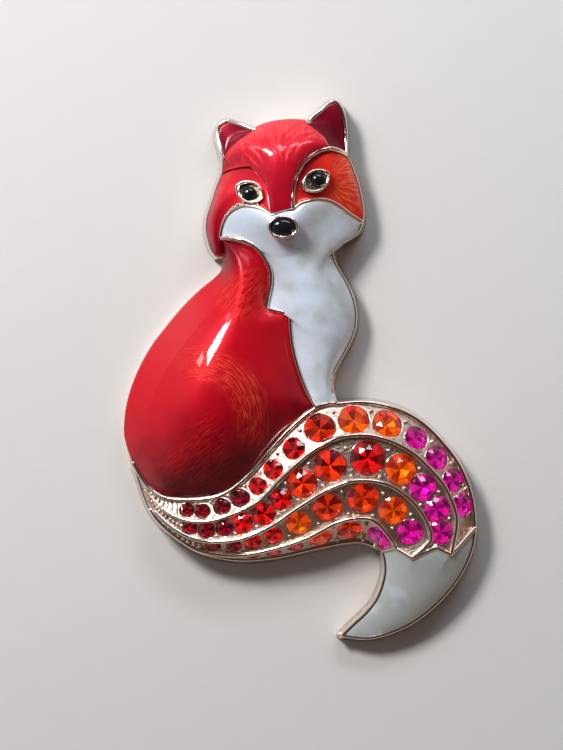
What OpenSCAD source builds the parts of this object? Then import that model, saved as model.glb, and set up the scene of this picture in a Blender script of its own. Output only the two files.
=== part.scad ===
// A seated fox brooch: one hollow-backed casting, inlaid enamel, cut stones in four rows along
// the tail, three black cabochons and a plain pin. It lies on its back rim, at z = 0. X runs
// across the brooch, Y from tail to ears, and Z out of its face.

/* [Overall size] */
// Width of the brooch
brooch_w = 39; // [30:0.5:60]
// Height of the brooch from the tail's tip to the ear's tip
brooch_h = 60.1; // [46:0.1:92]
// Depth from the back rim to the top of the nose
brooch_t = 9; // [8:0.25:12]

/* [Casting] */
// Width of the polished rims and ridges
rim_w = 0.45; // [0.35:0.05:0.6]
// Height of a rim's rounded crown over the enamel
rim_crown = 0.15; // [0.05:0.05:0.3]
// Depth of an inner rim below its crown
rim_depth = 1.4; // [1:0.1:1.8]
// Thickness of the metal round the hollow back
wall = 1.3; // [1:0.1:1.6]
// Outward slope of the side wall, from the face to the back
draft = 0.35; // [0:0.05:0.6]
// Depth of the stone channels below the ridges
channel_depth = 0.5; // [0.3:0.05:0.7]
// Diameter of the small beads of metal between the stones
bead_d = 0.6; // [0.4:0.05:0.8]

/* [Enamel] */
// Thickness of the enamel
enamel_t = 0.6; // [0.4:0.05:0.8]
// Gap between enamel and metal
enamel_gap = 0.08; // [0.05:0.01:0.15]

/* [Stones] */
// Diameter of the largest stone
stone_d = 3.6; // [3:0.1:4]
// Crown height of a stone, as a share of its diameter
crown_share = 0.2; // [0.15:0.01:0.25]
// Depth of a stone below its girdle, as a share of its diameter
base_share = 0.2; // [0.15:0.01:0.25]
// Gap round and under each stone
stone_gap = 0.05; // [0.03:0.01:0.1]
// Number of sides of each stone
stone_sides = 8; // [8:1:12]

/* [Eyes and nose] */
// Length of an eye from corner to corner
eye_l = 3.6; // [3.2:0.1:4]
// Width of an eye
eye_w = 2.5; // [2.3:0.1:2.8]
// Diameter of an eye's cabochon
pupil_d = 1.75; // [1.5:0.05:1.8]
// Width of the nose ring
nose_w = 3.4; // [3:0.1:3.8]
// Height of the nose ring
nose_h = 2.55; // [2.3:0.05:2.9]
// Width of the rims round the eyes and nose
cup_rim = 0.3; // [0.2:0.05:0.4]
// Depth of the cups that hold the cabochons
cup_depth = 0.6; // [0.4:0.05:0.8]
// Gap between a cabochon and its cup
cabochon_gap = 0.06; // [0.03:0.01:0.1]

/* [Pin] */
// Length of the pin's plate
pin_l = 25; // [20:0.5:30]
// Width of the plate
plate_w = 2.6; // [2:0.1:3.2]
// Thickness of the plate
plate_t = 0.7; // [0.5:0.05:0.9]
// Diameter of the pin's wire
wire_d = 0.9; // [0.7:0.05:1]
// Height of the wire's middle above the back rim
wire_z = 0.75; // [0.6:0.05:1]
// Height of the plate above the back rim
plate_z = 2.3; // [2:0.1:2.6]
// Gap between the plate and the posts that carry it
post_gap = 0.1; // [0.05:0.05:0.2]
// Diameter of the posts
post_d = 3; // [2.4:0.1:3.4]
// Clearance that the casting keeps round the pin
pin_gap = 0.05; // [0.02:0.01:0.1]

/* [Hidden] */
STONE_COUNTS = [14, 13, 9, 6];
STONES = [for (row = [0:3]) for (i = [1:STONE_COUNTS[row]]) stone_name(row, i)];

function stone_name(row, i) = str("row_", row + 1, "_stone_", i < 10 ? "0" : "", i);

// How a line of the drawing is finished: the outer rim, a rim between two fields, or no rim.
EDGE = 2;
RIM = 1;
SOFT = 0;

// The lines of the drawing. Columns: name, finish, steps, and points as shares of the brooch's
// width, height and depth, measured from its middle and its back.
LINES = [
    ["left_ear", EDGE, 8,
     [[-0.226, 0.387, 0.51], [-0.238, 0.415, 0.47], [-0.246, 0.440, 0.41], [-0.235, 0.458, 0.38],
      [-0.209, 0.465, 0.40], [-0.175, 0.458, 0.49], [-0.130, 0.446, 0.56]]],
    ["left_ear_base", SOFT, 4,
     [[-0.226, 0.387, 0.51], [-0.208, 0.406, 0.58], [-0.175, 0.425, 0.62], [-0.130, 0.446, 0.56]]],
    ["head_top", EDGE, 6,
     [[-0.130, 0.446, 0.56], [-0.084, 0.455, 0.54], [-0.033, 0.459, 0.54], [0.014, 0.457, 0.56]]],
    ["right_ear", EDGE, 9,
     [[0.014, 0.457, 0.56], [0.021, 0.466, 0.52], [0.050, 0.482, 0.47], [0.077, 0.498, 0.40],
      [0.100, 0.499, 0.37], [0.118, 0.483, 0.36], [0.128, 0.457, 0.36], [0.130, 0.426, 0.39],
      [0.130, 0.398, 0.47]]],
    ["right_ear_base", SOFT, 6,
     [[0.014, 0.457, 0.56], [0.041, 0.442, 0.64], [0.066, 0.428, 0.67], [0.081, 0.409, 0.69]]],
    ["right_brow", RIM, 8,
     [[-0.024, 0.295, 0.88], [-0.027, 0.311, 0.87], [-0.024, 0.332, 0.84], [-0.017, 0.352, 0.83],
      [-0.004, 0.373, 0.81], [0.019, 0.391, 0.78], [0.050, 0.404, 0.73], [0.081, 0.409, 0.69]]],
    ["right_brow_end", RIM, 3,
     [[0.081, 0.409, 0.69], [0.107, 0.405, 0.59], [0.130, 0.398, 0.47]]],
    ["head_right", EDGE, 7,
     [[0.130, 0.398, 0.47], [0.145, 0.378, 0.42], [0.161, 0.350, 0.39], [0.172, 0.319, 0.37],
      [0.178, 0.293, 0.36], [0.174, 0.274, 0.37]]],
    ["right_cheek_top", RIM, 9,
     [[-0.024, 0.295, 0.88], [-0.007, 0.305, 0.83], [0.019, 0.311, 0.79], [0.050, 0.314, 0.73],
      [0.081, 0.311, 0.66], [0.110, 0.301, 0.58], [0.141, 0.287, 0.47], [0.174, 0.274, 0.37]]],
    ["nose_top", RIM, 1,
     [[-0.084, 0.284, 0.88], [-0.024, 0.295, 0.88]]],
    ["left_brow", SOFT, 8,
     [[-0.229, 0.365, 0.41], [-0.204, 0.371, 0.56], [-0.175, 0.374, 0.67], [-0.150, 0.374, 0.73],
      [-0.127, 0.364, 0.78], [-0.107, 0.347, 0.81], [-0.094, 0.326, 0.84], [-0.087, 0.304, 0.87],
      [-0.084, 0.284, 0.88]]],
    ["left_cheek_top", RIM, 9,
     [[-0.084, 0.284, 0.88], [-0.107, 0.294, 0.82], [-0.135, 0.300, 0.77], [-0.167, 0.302, 0.70],
      [-0.194, 0.295, 0.63], [-0.215, 0.282, 0.57], [-0.227, 0.263, 0.51], [-0.232, 0.244, 0.48]]],
    ["head_left_upper", EDGE, 1,
     [[-0.226, 0.387, 0.51], [-0.229, 0.365, 0.41]]],
    ["head_left", EDGE, 7,
     [[-0.229, 0.365, 0.41], [-0.244, 0.341, 0.38], [-0.259, 0.311, 0.36], [-0.272, 0.284, 0.34],
      [-0.275, 0.262, 0.33], [-0.269, 0.241, 0.33], [-0.261, 0.224, 0.33], [-0.246, 0.210, 0.33]]],
    ["lobe", EDGE, 1,
     [[-0.246, 0.210, 0.33], [-0.222, 0.210, 0.36]]],
    ["nape", SOFT, 2,
     [[-0.232, 0.244, 0.48], [-0.226, 0.227, 0.42], [-0.222, 0.210, 0.36]]],
    ["jaw", RIM, 6,
     [[-0.232, 0.244, 0.48], [-0.195, 0.244, 0.56], [-0.158, 0.238, 0.60], [-0.130, 0.226, 0.61],
      [-0.107, 0.208, 0.60], [-0.091, 0.187, 0.58], [-0.088, 0.164, 0.56], [-0.095, 0.140, 0.54],
      [-0.102, 0.115, 0.53]]],
    ["bib_step", RIM, 1,
     [[-0.102, 0.115, 0.53], [-0.033, 0.104, 0.58]]],
    ["bib_left", RIM, 4,
     [[-0.033, 0.104, 0.58], [-0.032, 0.075, 0.56], [-0.027, 0.047, 0.54], [-0.016, 0.016, 0.54],
      [0.000, -0.016, 0.55], [0.019, -0.045, 0.58], [0.043, -0.068, 0.62]]],
    ["bib_right", EDGE, 11,
     [[0.174, 0.274, 0.37], [0.165, 0.258, 0.36], [0.141, 0.244, 0.37], [0.113, 0.234, 0.38],
      [0.094, 0.224, 0.38], [0.091, 0.211, 0.37], [0.105, 0.191, 0.36], [0.127, 0.166, 0.34],
      [0.145, 0.140, 0.33], [0.156, 0.112, 0.33], [0.155, 0.084, 0.33], [0.142, 0.056, 0.33],
      [0.118, 0.026, 0.34], [0.095, -0.002, 0.37], [0.088, -0.023, 0.42], [0.091, -0.042, 0.50],
      [0.101, -0.059, 0.58]]],
    ["back", EDGE, 18,
     [[-0.222, 0.210, 0.36], [-0.222, 0.198, 0.33], [-0.224, 0.182, 0.32], [-0.248, 0.165, 0.31],
      [-0.286, 0.145, 0.30], [-0.332, 0.116, 0.29], [-0.380, 0.079, 0.29], [-0.426, 0.039, 0.29],
      [-0.464, -0.008, 0.29], [-0.489, -0.055, 0.29], [-0.499, -0.099, 0.29],
      [-0.497, -0.136, 0.29], [-0.484, -0.169, 0.29]]],
    ["blade_back", EDGE, 8,
     [[0.499, -0.289, 0.36], [0.491, -0.326, 0.34], [0.470, -0.363, 0.33], [0.434, -0.400, 0.33],
      [0.386, -0.435, 0.32], [0.326, -0.466, 0.31], [0.261, -0.487, 0.29], [0.187, -0.499, 0.26],
      [0.108, -0.494, 0.21]]],
    ["blade_front", EDGE, 8,
     [[0.226, -0.335, 0.42], [0.233, -0.354, 0.41], [0.234, -0.374, 0.40], [0.227, -0.396, 0.38],
      [0.215, -0.417, 0.36], [0.197, -0.436, 0.32], [0.172, -0.454, 0.29], [0.145, -0.470, 0.26],
      [0.108, -0.494, 0.21]]]
];

// The tail's stations, from its root to the white tip. Columns: its inner rim, ridge C, ridge B,
// ridge A and its outer rim, as the same shares.
TAIL = [
    [[-0.481, -0.180, 0.26], [-0.482, -0.177, 0.27], [-0.483, -0.175, 0.28], [-0.484, -0.172, 0.29],
     [-0.484, -0.169, 0.29]],
    [[-0.452, -0.238, 0.23], [-0.450, -0.232, 0.31], [-0.449, -0.226, 0.34], [-0.447, -0.218, 0.36],
     [-0.446, -0.210, 0.33]],
    [[-0.416, -0.281, 0.22], [-0.415, -0.274, 0.36], [-0.412, -0.265, 0.42], [-0.406, -0.250, 0.43],
     [-0.400, -0.233, 0.39]],
    [[-0.355, -0.315, 0.22], [-0.353, -0.310, 0.39], [-0.352, -0.297, 0.49], [-0.349, -0.272, 0.51],
     [-0.352, -0.239, 0.43]],
    [[-0.285, -0.341, 0.22], [-0.283, -0.335, 0.40], [-0.281, -0.314, 0.54], [-0.281, -0.279, 0.58],
     [-0.283, -0.238, 0.48]],
    [[-0.181, -0.354, 0.22], [-0.181, -0.342, 0.43], [-0.187, -0.312, 0.61], [-0.201, -0.266, 0.64],
     [-0.218, -0.227, 0.52]],
    [[-0.073, -0.349, 0.22], [-0.078, -0.329, 0.48], [-0.093, -0.289, 0.67], [-0.118, -0.239, 0.70],
     [-0.152, -0.194, 0.56]],
    [[0.024, -0.335, 0.22], [0.016, -0.309, 0.54], [-0.007, -0.251, 0.73], [-0.050, -0.194, 0.76],
     [-0.090, -0.148, 0.59]],
    [[0.113, -0.323, 0.22], [0.098, -0.281, 0.60], [0.070, -0.220, 0.79], [0.019, -0.153, 0.80],
     [-0.027, -0.104, 0.61]],
    [[0.158, -0.320, 0.22], [0.147, -0.273, 0.63], [0.127, -0.205, 0.82], [0.081, -0.129, 0.82],
     [0.043, -0.068, 0.62]],
    [[0.181, -0.322, 0.22], [0.172, -0.272, 0.64], [0.161, -0.202, 0.82], [0.130, -0.120, 0.82],
     [0.101, -0.059, 0.58]],
    [[0.195, -0.325, 0.22], [0.195, -0.274, 0.64], [0.204, -0.203, 0.81], [0.192, -0.119, 0.80],
     [0.181, -0.056, 0.51]],
    [[0.207, -0.329, 0.23], [0.217, -0.283, 0.63], [0.249, -0.211, 0.78], [0.255, -0.131, 0.77],
     [0.264, -0.067, 0.47]],
    [[0.215, -0.331, 0.27], [0.235, -0.295, 0.61], [0.289, -0.227, 0.73], [0.315, -0.152, 0.72],
     [0.340, -0.092, 0.43]],
    [[0.221, -0.333, 0.31], [0.249, -0.307, 0.59], [0.326, -0.250, 0.69], [0.369, -0.185, 0.68],
     [0.406, -0.133, 0.41]],
    [[0.223, -0.333, 0.36], [0.259, -0.315, 0.57], [0.355, -0.280, 0.64], [0.410, -0.219, 0.62],
     [0.457, -0.179, 0.39]],
    [[0.225, -0.334, 0.40], [0.265, -0.323, 0.54], [0.366, -0.313, 0.60], [0.440, -0.273, 0.57],
     [0.489, -0.234, 0.37]],
    [[0.226, -0.335, 0.42], [0.268, -0.328, 0.53], [0.313, -0.346, 0.57], [0.425, -0.340, 0.51],
     [0.499, -0.289, 0.36]]
];
TAIL_END = len(TAIL) - 1;
// Stations at which the tail's outer rim leaves the body, and the bib.
BODY_SIDE = 9;
BIB_SIDE = 10;

// Enamelled fields, each lofted from one side over its crest to the other side. Columns: name,
// colour, first side, crest, second side, how far the enamel stays from each end, in ribs, and
// the number of strips on each side of the crest. A side is a chain of lines, each with the
// number of ribs that it takes, negative where the line is run backwards.
FIELDS = [
    ["body_enamel", "crimson",
     [["nape", 2], ["back", 18]],
     [[-0.232, 0.244, 0.48], [-0.178, 0.201, 0.63], [-0.178, 0.130, 0.74], [-0.207, 0.056, 0.86],
      [-0.244, -0.008, 0.92], [-0.275, -0.064, 0.94], [-0.321, -0.123, 0.88],
      [-0.400, -0.169, 0.62], [-0.484, -0.169, 0.29]],
     [["jaw", 6], ["bib_step", 1], ["bib_left", 4], ["tail_top", -9]],
     [1, 1], 3],
    ["forehead_enamel", "red",
     [["left_brow", 8], ["nose_top", 1], ["right_brow", 8]],
     [[-0.229, 0.365, 0.41], [-0.189, 0.395, 0.67], [-0.138, 0.404, 0.82], [-0.081, 0.393, 0.92],
      [-0.041, 0.393, 0.92], [0.001, 0.408, 0.87], [0.044, 0.413, 0.80], [0.081, 0.409, 0.69]],
     [["head_left_upper", 1], ["left_ear_base", 4], ["head_top", 6], ["right_ear_base", 6]],
     [1, 1], 3],
    ["left_cheek_enamel", "firebrick",
     [["left_brow", -8], ["head_left", 7], ["lobe", 1], ["nape", -2]],
     [[-0.084, 0.284, 0.88], [-0.110, 0.308, 0.78], [-0.147, 0.323, 0.70], [-0.189, 0.326, 0.64],
      [-0.224, 0.308, 0.59], [-0.246, 0.274, 0.53], [-0.249, 0.241, 0.50], [-0.232, 0.244, 0.48]],
     [["left_cheek_top", 18]],
     [1, 1], 2],
    ["right_cheek_enamel", "orangered",
     [["right_cheek_top", 18]],
     [[-0.024, 0.295, 0.88], [-0.007, 0.321, 0.79], [0.036, 0.341, 0.73], [0.081, 0.352, 0.68],
      [0.121, 0.345, 0.59], [0.150, 0.311, 0.49], [0.174, 0.274, 0.37]],
     [["right_brow", 8], ["right_brow_end", 3], ["head_right", 7]],
     [1, 1], 2],
    ["left_ear_enamel", "maroon",
     [["left_ear_base", 8]],
     [[-0.226, 0.387, 0.51], [-0.215, 0.411, 0.44], [-0.201, 0.433, 0.42], [-0.172, 0.443, 0.47],
      [-0.130, 0.446, 0.56]],
     [["left_ear", 8]],
     [1, 1], 2],
    ["right_ear_enamel", "maroon",
     [["right_ear_base", 6], ["right_brow_end", 3]],
     [[0.014, 0.457, 0.56], [0.053, 0.465, 0.48], [0.087, 0.461, 0.43], [0.104, 0.432, 0.44],
      [0.130, 0.398, 0.47]],
     [["right_ear", 9]],
     [1, 1], 2],
    ["face_and_bib_enamel", "ghostwhite",
     [["left_cheek_top", 9], ["jaw", 6], ["bib_step", 1], ["bib_left", 4]],
     [[-0.054, 0.289, 0.90], [-0.051, 0.254, 0.96], [-0.047, 0.241, 0.92], [-0.038, 0.226, 0.82],
      [-0.024, 0.210, 0.74], [-0.004, 0.186, 0.70], [0.019, 0.151, 0.71], [0.038, 0.106, 0.72],
      [0.053, 0.051, 0.70], [0.064, -0.010, 0.66], [0.072, -0.063, 0.62]],
     [["right_cheek_top", 9], ["bib_right", 11]],
     [1, 0.4], 3]
];

// Eyes. Columns: name, middle as shares of the brooch's sizes, turn, lean, and the pupil's
// place as shares of the eye's length and width.
EYES = [
    ["left_eye", [-0.148, 0.328, 0.77], -25, -12, [-0.02, -0.10]],
    ["right_eye", [0.040, 0.348, 0.80], 33, 12, [0.10, -0.02]]
];
NOSE_PLACE = [-0.053, 0.262, 0.97];

// Stones, row by row from the outer rim inwards. Columns: the stone's place, from the row's
// first stone to its last, and its diameter, as a share of the largest.
STONE_ROWS = [
    [[0, 0.44], [0.044, 0.46], [0.101, 0.52], [0.158, 0.58], [0.219, 0.55], [0.283, 0.60],
     [0.367, 0.67], [0.462, 0.92], [0.568, 0.94], [0.666, 0.90], [0.761, 0.73], [0.843, 0.75],
     [0.924, 0.73], [1, 0.72]],
    [[0, 0.47], [0.056, 0.49], [0.113, 0.49], [0.173, 0.62], [0.247, 0.68], [0.320, 0.61],
     [0.403, 0.86], [0.507, 0.95], [0.632, 1], [0.746, 0.92], [0.837, 0.79], [0.921, 0.76],
     [1, 0.71]],
    [[0, 0.48], [0.096, 0.46], [0.184, 0.54], [0.280, 0.58], [0.408, 0.72], [0.558, 0.87],
     [0.724, 0.92], [0.875, 0.84], [1, 0.76]],
    [[0, 0.42], [0.163, 0.46], [0.340, 0.49], [0.543, 0.72], [0.775, 0.80], [1, 0.80]]
];
// Tail stations of each row's first and last stones.
ROW_SPANS = [[3.33, 15.9], [3.42, 16.25], [4.3, 15.1], [5.4, 12.4]];
ROW_COLOURS = ["red", "crimson", "orangered", "firebrick"];
// How far the white tip's edge reaches up into each row, in tail stations.
ROW_PULL = [0, 0.4, 0, 0];

// Swell of a field from its side to its crest: higher is fuller.
FULLNESS = 2.2;
// How far the metal under a field stays from each of its pointed ends, in ribs, and how far the
// hollow does.
RELIEF_CUTS = [0.12, 0.12];
HOLLOW_CUTS = [0.6, 0.7];
// How far pieces of the casting reach into each other, and how much lower one rim lies than
// another that it crosses.
LAP = 0.11;
HAIR = 0.02;
// The back is hollow under the body, the face and the bib as deep as their relief allows, and
// under the rest of the head from a height up, as shares of the brooch's height and depth.
HOLLOW_FIELDS = [0, 6];
HEAD_FLOOR = [0.22, 0.25];
// Rise of the white tip's middle above its rims.
tip_swell = 0.2 * brooch_t;
// Steps over which the tip's zigzag edge fades out, how far its enamel stays from its two ends,
// and its borders: as a share of the tip's width at the most, and as a share of a margin.
TIP_FADE = 3;
TIP_CUTS = [0.15, 0.8];
TIP_BORDER = [0.35, 1.15];
// Least height of the metal under a field.
LEAST_METAL = 0.5;
// How far the beads lie from a row's middle, as a share of the stones' radius.
BEAD_ASIDE = 0.8;
PIN_PLACE = [-0.14, 0.085];
// Height at which the pin's posts end inside the metal, as a share of the brooch's depth.
POST_TOP = 0.6;

function mix(a, b, s) = a * (1 - s) + b * s;
function flat(p) = [p[0], p[1]];
function spot(p) = [p[0] * brooch_w, p[1] * brooch_h, p[2] * brooch_t];
function unit(v) = v / norm(v);

// A point on the smooth curve through p, between its points k and k + 1.
function bend(p, k, s) =
    let (a = p[max(k - 1, 0)], b = p[k], c = p[k + 1], d = p[min(k + 2, len(p) - 1)])
    (2 * b + (c - a) * s + (2 * a - 5 * b + 4 * c - d) * s ^ 2 + (3 * b - a - 3 * c + d) * s ^ 3) / 2;

function curve(p, steps) =
    [for (i = [0:steps])
        let (f = i / steps * (len(p) - 1), k = min(floor(f), len(p) - 2))
        bend(p, k, f - k)];

// A point of a chain of points, at a place counted in steps.
function along(line, s) =
    let (f = max(0, min(s, len(line) - 1)), k = min(floor(f), len(line) - 2))
    mix(line[k], line[k + 1], f - k);

function part_of(line, first, last) = [for (i = [first:last]) line[i]];
// A chain with its ends drawn out, or drawn in where the length is negative.
function drawn_out(line, length) =
    let (n = len(line) - 1)
    concat([line[0] + unit(line[0] - line[1]) * length], part_of(line, 1, n - 1),
           [line[n] + unit(line[n] - line[n - 1]) * length]);

// Tail
TAIL_RAILS = [for (r = [0:4]) [for (s = TAIL) spot(s[r])]];

// A point across the tail: at even places a rim or ridge, at odd places the middle of a row.
function tail_point(f, j) =
    j % 2 == 0
        ? along(TAIL_RAILS[j / 2], f)
        : let (row = (7 - j) / 2, g = f - ROW_PULL[row] * max(0, f - TAIL_END + 1))
          (along(TAIL_RAILS[(j - 1) / 2], g) + along(TAIL_RAILS[(j + 1) / 2], g)) / 2;

// Lines and chains of lines
function line_row(name) = LINES[search([name], LINES)[0]];
function line_points(name) =
    name == "tail_top" ? part_of(TAIL_RAILS[4], 0, BODY_SIDE)
    : name == "bib_bottom" ? part_of(TAIL_RAILS[4], BODY_SIDE, BIB_SIDE)
    : name == "tail_back" ? part_of(TAIL_RAILS[4], BIB_SIDE, TAIL_END)
    : name == "tail_under" ? TAIL_RAILS[0]
    : let (row = line_row(name)) [for (p = curve(row[3], row[2])) spot(p)];
function line_finish(name) = name == "tail_top" || name == "bib_bottom" ? RIM : line_row(name)[1];

function run(part) =
    let (line = line_points(part[0]), n = abs(part[1]))
    [for (i = [0:n]) along(line, (part[1] > 0 ? i : n - i) / n * (len(line) - 1))];
function chain(parts) =
    concat([run(parts[0])[0]], [for (p = parts) each let (r = run(p)) part_of(r, 1, len(r) - 1)]);

// Room that enamel leaves to the middle of its border.
function margin(finish) =
    finish == EDGE ? rim_w + enamel_gap : finish == RIM ? rim_w / 2 + enamel_gap : enamel_gap / 2;
// The metal under a field ends inside an outer rim, and laps under its other neighbours.
function metal_margin(finish, lap) = finish == EDGE ? 0.4 * rim_w : -lap;
function margins(parts, lap) =
    let (all = [for (p = parts) each [for (i = [1:abs(p[1])])
        lap == 0 ? margin(line_finish(p[0])) : metal_margin(line_finish(p[0]), lap)]])
    concat([all[0]], all);

// A field's sides, crest and margins, worked out once. Enamel has no lap.
function field_of(row, lap = 0) =
    let (a = chain(row[2]), b = chain(row[4]))
    [a, [for (p = curve(row[3], len(a) - 1)) spot(p)], b, margins(row[2], lap), margins(row[4], lap)];

// Share of the way from side to crest that a margin takes, measured square to the side. A lap is
// measured along the way.
function inset(side, crest, rooms, t) =
    let (here = along(side, t),
         way = flat(along(crest, t) - here),
         run = flat(along(side, t + 0.5) - along(side, t - 0.5)),
         square = abs(way[0] * run[1] - way[1] * run[0]) / norm(run),
         room = max(along(rooms, floor(t)), along(rooms, ceil(t))))
    room < 0 ? room / norm(way) : min(0.8, room / square);

// A point of a rib. A lap beyond the side slopes down by its own length.
function lofted(side, crest, w) =
    let (p = mix(side, crest, w),
         rise = w > 0 ? (crest[2] - side[2]) * (1 - (1 - w) ^ FULLNESS) : w * norm(flat(crest - side)))
    [p[0], p[1], side[2] + rise];

// Ribs of a field: points from its first side over its crest to its second side. The enamel's
// ribs keep clear of the rims; the metal's reach the middle of them.
function ribs(field, stations, strips, drop) =
    [for (t = stations)
        let (a = along(field[0], t), k = along(field[1], t), b = along(field[2], t),
             wa = inset(field[0], field[1], field[3], t),
             wb = inset(field[2], field[1], field[4], t))
        concat([for (j = [0:strips]) lofted(a, k, mix(wa, 1, j / strips)) - [0, 0, drop]],
               [for (j = [strips - 1:-1:0]) lofted(b, k, mix(wb, 1, j / strips)) - [0, 0, drop]])];

function stations(row, cuts) =
    let (n = len(chain(row[2])) - 1, first = cuts[0], last = n - cuts[1])
    concat([first], [for (i = [1:n - 1]) if (i > first + 0.3 && i < last - 0.3) i], [last]);

// Every second station, and the last.
function sparse(stations) =
    [for (i = [0:len(stations) - 1]) if (i % 2 == 0 || i == len(stations) - 1) stations[i]];

// A closed slab between two nets of points with the same rows and columns.
module slab(top, bottom) {
    n = len(top);
    m = len(top[0]);
    half = n * m;
    polyhedron(
        points = concat([for (row = top) each row], [for (row = bottom) each row]),
        faces = concat(
            [for (i = [0:n - 2]) for (j = [0:m - 2]) for (f = [0, 1])
                let (a = i * m + j, b = a + 1, c = a + m + 1, d = a + m)
                f == 0 ? [a, b, c] : [a, c, d]],
            [for (i = [0:n - 2]) for (j = [0:m - 2]) for (f = [0, 1])
                let (a = half + i * m + j, b = a + 1, c = a + m + 1, d = a + m)
                f == 0 ? [c, b, a] : [d, c, a]],
            [for (i = [0:n - 2]) for (side = [0, m - 1])
                let (a = i * m + side, b = a + m)
                side == 0 ? [a, b, b + half, a + half] : [a + half, b + half, b, a]],
            [for (j = [0:m - 2]) for (end = [0, n - 1])
                let (a = end * m + j, b = a + 1)
                end == 0 ? [a + half, b + half, b, a] : [a, b, b + half, a + half]]
        )
    );
}

function flattened(net, z) = [for (row = net) [for (p = row) [p[0], p[1], z]]];

// The solid from a net of points down to a level.
module block(net, z) {
    capped = [for (row = net) [for (p = row) [p[0], p[1], max(p[2], z + LEAST_METAL)]]];
    slab(capped, flattened(net, z));
}

// Nets of the tail's channels and of its white tip
function tail_net(drop, across, start, lap) =
    [for (i = [0:TAIL_END])
        [for (j = [0:across:8])
            let (f = max(i, start),
                 p = tail_point(f, j),
                 q = j == 0 ? mix(p, tail_point(f, 1), LAP) : j == 8 ? mix(p, tail_point(f, 7), LAP) : p,
                 over = i == TAIL_END ? unit(q - tail_point(i - 1, j)) * lap : [0, 0, 0])
            q + over - [0, 0, drop]]];

TIP_FRONT = line_points("blade_front");
TIP_BACK = line_points("blade_back");
TIP_STEPS = len(TIP_FRONT) - 1;

function tip_net(first, last, steps, across, clear, drop) =
    let (a0 = flat(TIP_FRONT[0]), b0 = flat(TIP_BACK[0]), span = norm(b0 - a0))
    [for (i = [0:steps])
        let (t = mix(first, last, i / steps),
             a = along(TIP_FRONT, t),
             b = along(TIP_BACK, t),
             fade = max(0, 1 - t / TIP_FADE) ^ 2,
             room = clear ? min(TIP_BORDER[0], margin(EDGE) / norm(flat(b - a)) * TIP_BORDER[1]) : 0)
        [for (j = [0:across:8])
            let (edge = tail_point(TAIL_END, j),
                 f = (flat(edge) - a0) * (b0 - a0) / span ^ 2,
                 g = mix(room, 1 - room, f),
                 swell = tip_swell * (1 - (2 * g - 1) ^ 2) * (1 - t / TIP_STEPS) * (1 - fade),
                 start = edge - mix(TIP_FRONT[0], TIP_BACK[0], f))
            mix(a, b, g) + start * fade + [0, 0, swell - drop]]];

// Rims
// Columns: distance outwards, 0 at the foot or 1 at the top, and height over the line.
EDGE_PROFILE = [[draft, 0, 0], [0, 1, 0], [-rim_w / 2, 1, rim_crown], [-rim_w, 1, 0], [-rim_w, 0, 0]];
RIM_PROFILE = [[rim_w / 2, 0, 0], [rim_w / 2, 1, 0], [0, 1, rim_crown], [-rim_w / 2, 1, 0],
               [-rim_w / 2, 0, 0]];

function section_points(p, out, foot, profile) = [for (q = profile) [p[0], p[1], 0] + out * q[0]
    + [0, 0, q[1] == 0 ? foot : p[2] + q[2]]];
function outwards(a, b) = let (d = unit(flat(b - a))) [-d[1], d[0], 0];

// A rim along a chain of points. Its foot lies on the floor, or at a depth below the line.
module rim(line, profile, depth = undef) {
    n = len(line);
    m = len(profile);
    points = [for (i = [0:n - 1]) each section_points(
        line[i],
        outwards(line[max(i - 1, 0)], line[min(i + 1, n - 1)]),
        is_undef(depth) ? 0 : line[i][2] - depth,
        profile)];
    polyhedron(points, concat(
        [for (i = [0:n - 2]) for (j = [0:m - 1]) for (f = [0, 1])
            let (a = i * m + j, b = i * m + (j + 1) % m)
            f == 0 ? [b + m, b, a] : [a + m, b + m, a]],
        [[for (j = [0:m - 1]) j], [for (j = [m - 1:-1:0]) (n - 1) * m + j]]));
}

// The outline in two runs, which cross at the tip of the tail and at the neck. The second lies
// a hair lower.
OUTLINE_RUNS = [
    [["lobe", -1], ["head_left", -7], ["head_left_upper", -1], ["left_ear", 8], ["head_top", 6],
     ["right_ear", 9], ["head_right", 7], ["bib_right", 11], ["tail_back", TAIL_END - BIB_SIDE],
     ["blade_back", 8]],
    [["blade_front", -8], ["tail_under", -TAIL_END], ["back", -18]]
];
OUTLINE = let (c = chain(concat(OUTLINE_RUNS[0], OUTLINE_RUNS[1]))) part_of(c, 1, len(c) - 1);

INNER_RUNS = [
    [["right_brow", 8], ["right_brow_end", 3]],
    [["nose_top", 1], ["right_cheek_top", 9]],
    [["left_cheek_top", 9]],
    [["jaw", 6], ["bib_step", 1], ["bib_left", 4]],
    [["tail_top", BODY_SIDE], ["bib_bottom", BIB_SIDE - BODY_SIDE]]
];
// Station at which the ridges between the rows stand clear of each other.
RIDGE_START = 2;

module rims() {
    for (k = [0, 1])
        translate([0, 0, -k * HAIR])
            rim(drawn_out(chain(OUTLINE_RUNS[k]), LAP), EDGE_PROFILE);
    for (parts = INNER_RUNS)
        rim(drawn_out(chain(parts), -LAP), RIM_PROFILE, rim_depth);
    for (r = [1:3])
        rim(drawn_out(part_of(TAIL_RAILS[r], RIDGE_START, TAIL_END), -LAP), RIM_PROFILE, rim_depth);
    rim(drawn_out([for (j = [0:8]) tail_point(TAIL_END, j)], -LAP), RIM_PROFILE, rim_depth);
}

// Eyes and nose
function almond(l, w) =
    let (r = (l ^ 2 + w ^ 2) / (4 * w), half = asin(l / 2 / r), n = 6)
    [for (side = [0, 1]) for (i = [0:n - 1])
        let (a = mix(-half, half, i / n), s = side == 0 ? 1 : -1)
        [s * r * sin(a), s * (r * cos(a) - r + w / 2)]];
function oval(l, w, n) = [for (i = [0:n - 1]) [l / 2 * cos(i * 360 / n), w / 2 * sin(i * 360 / n)]];

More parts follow.
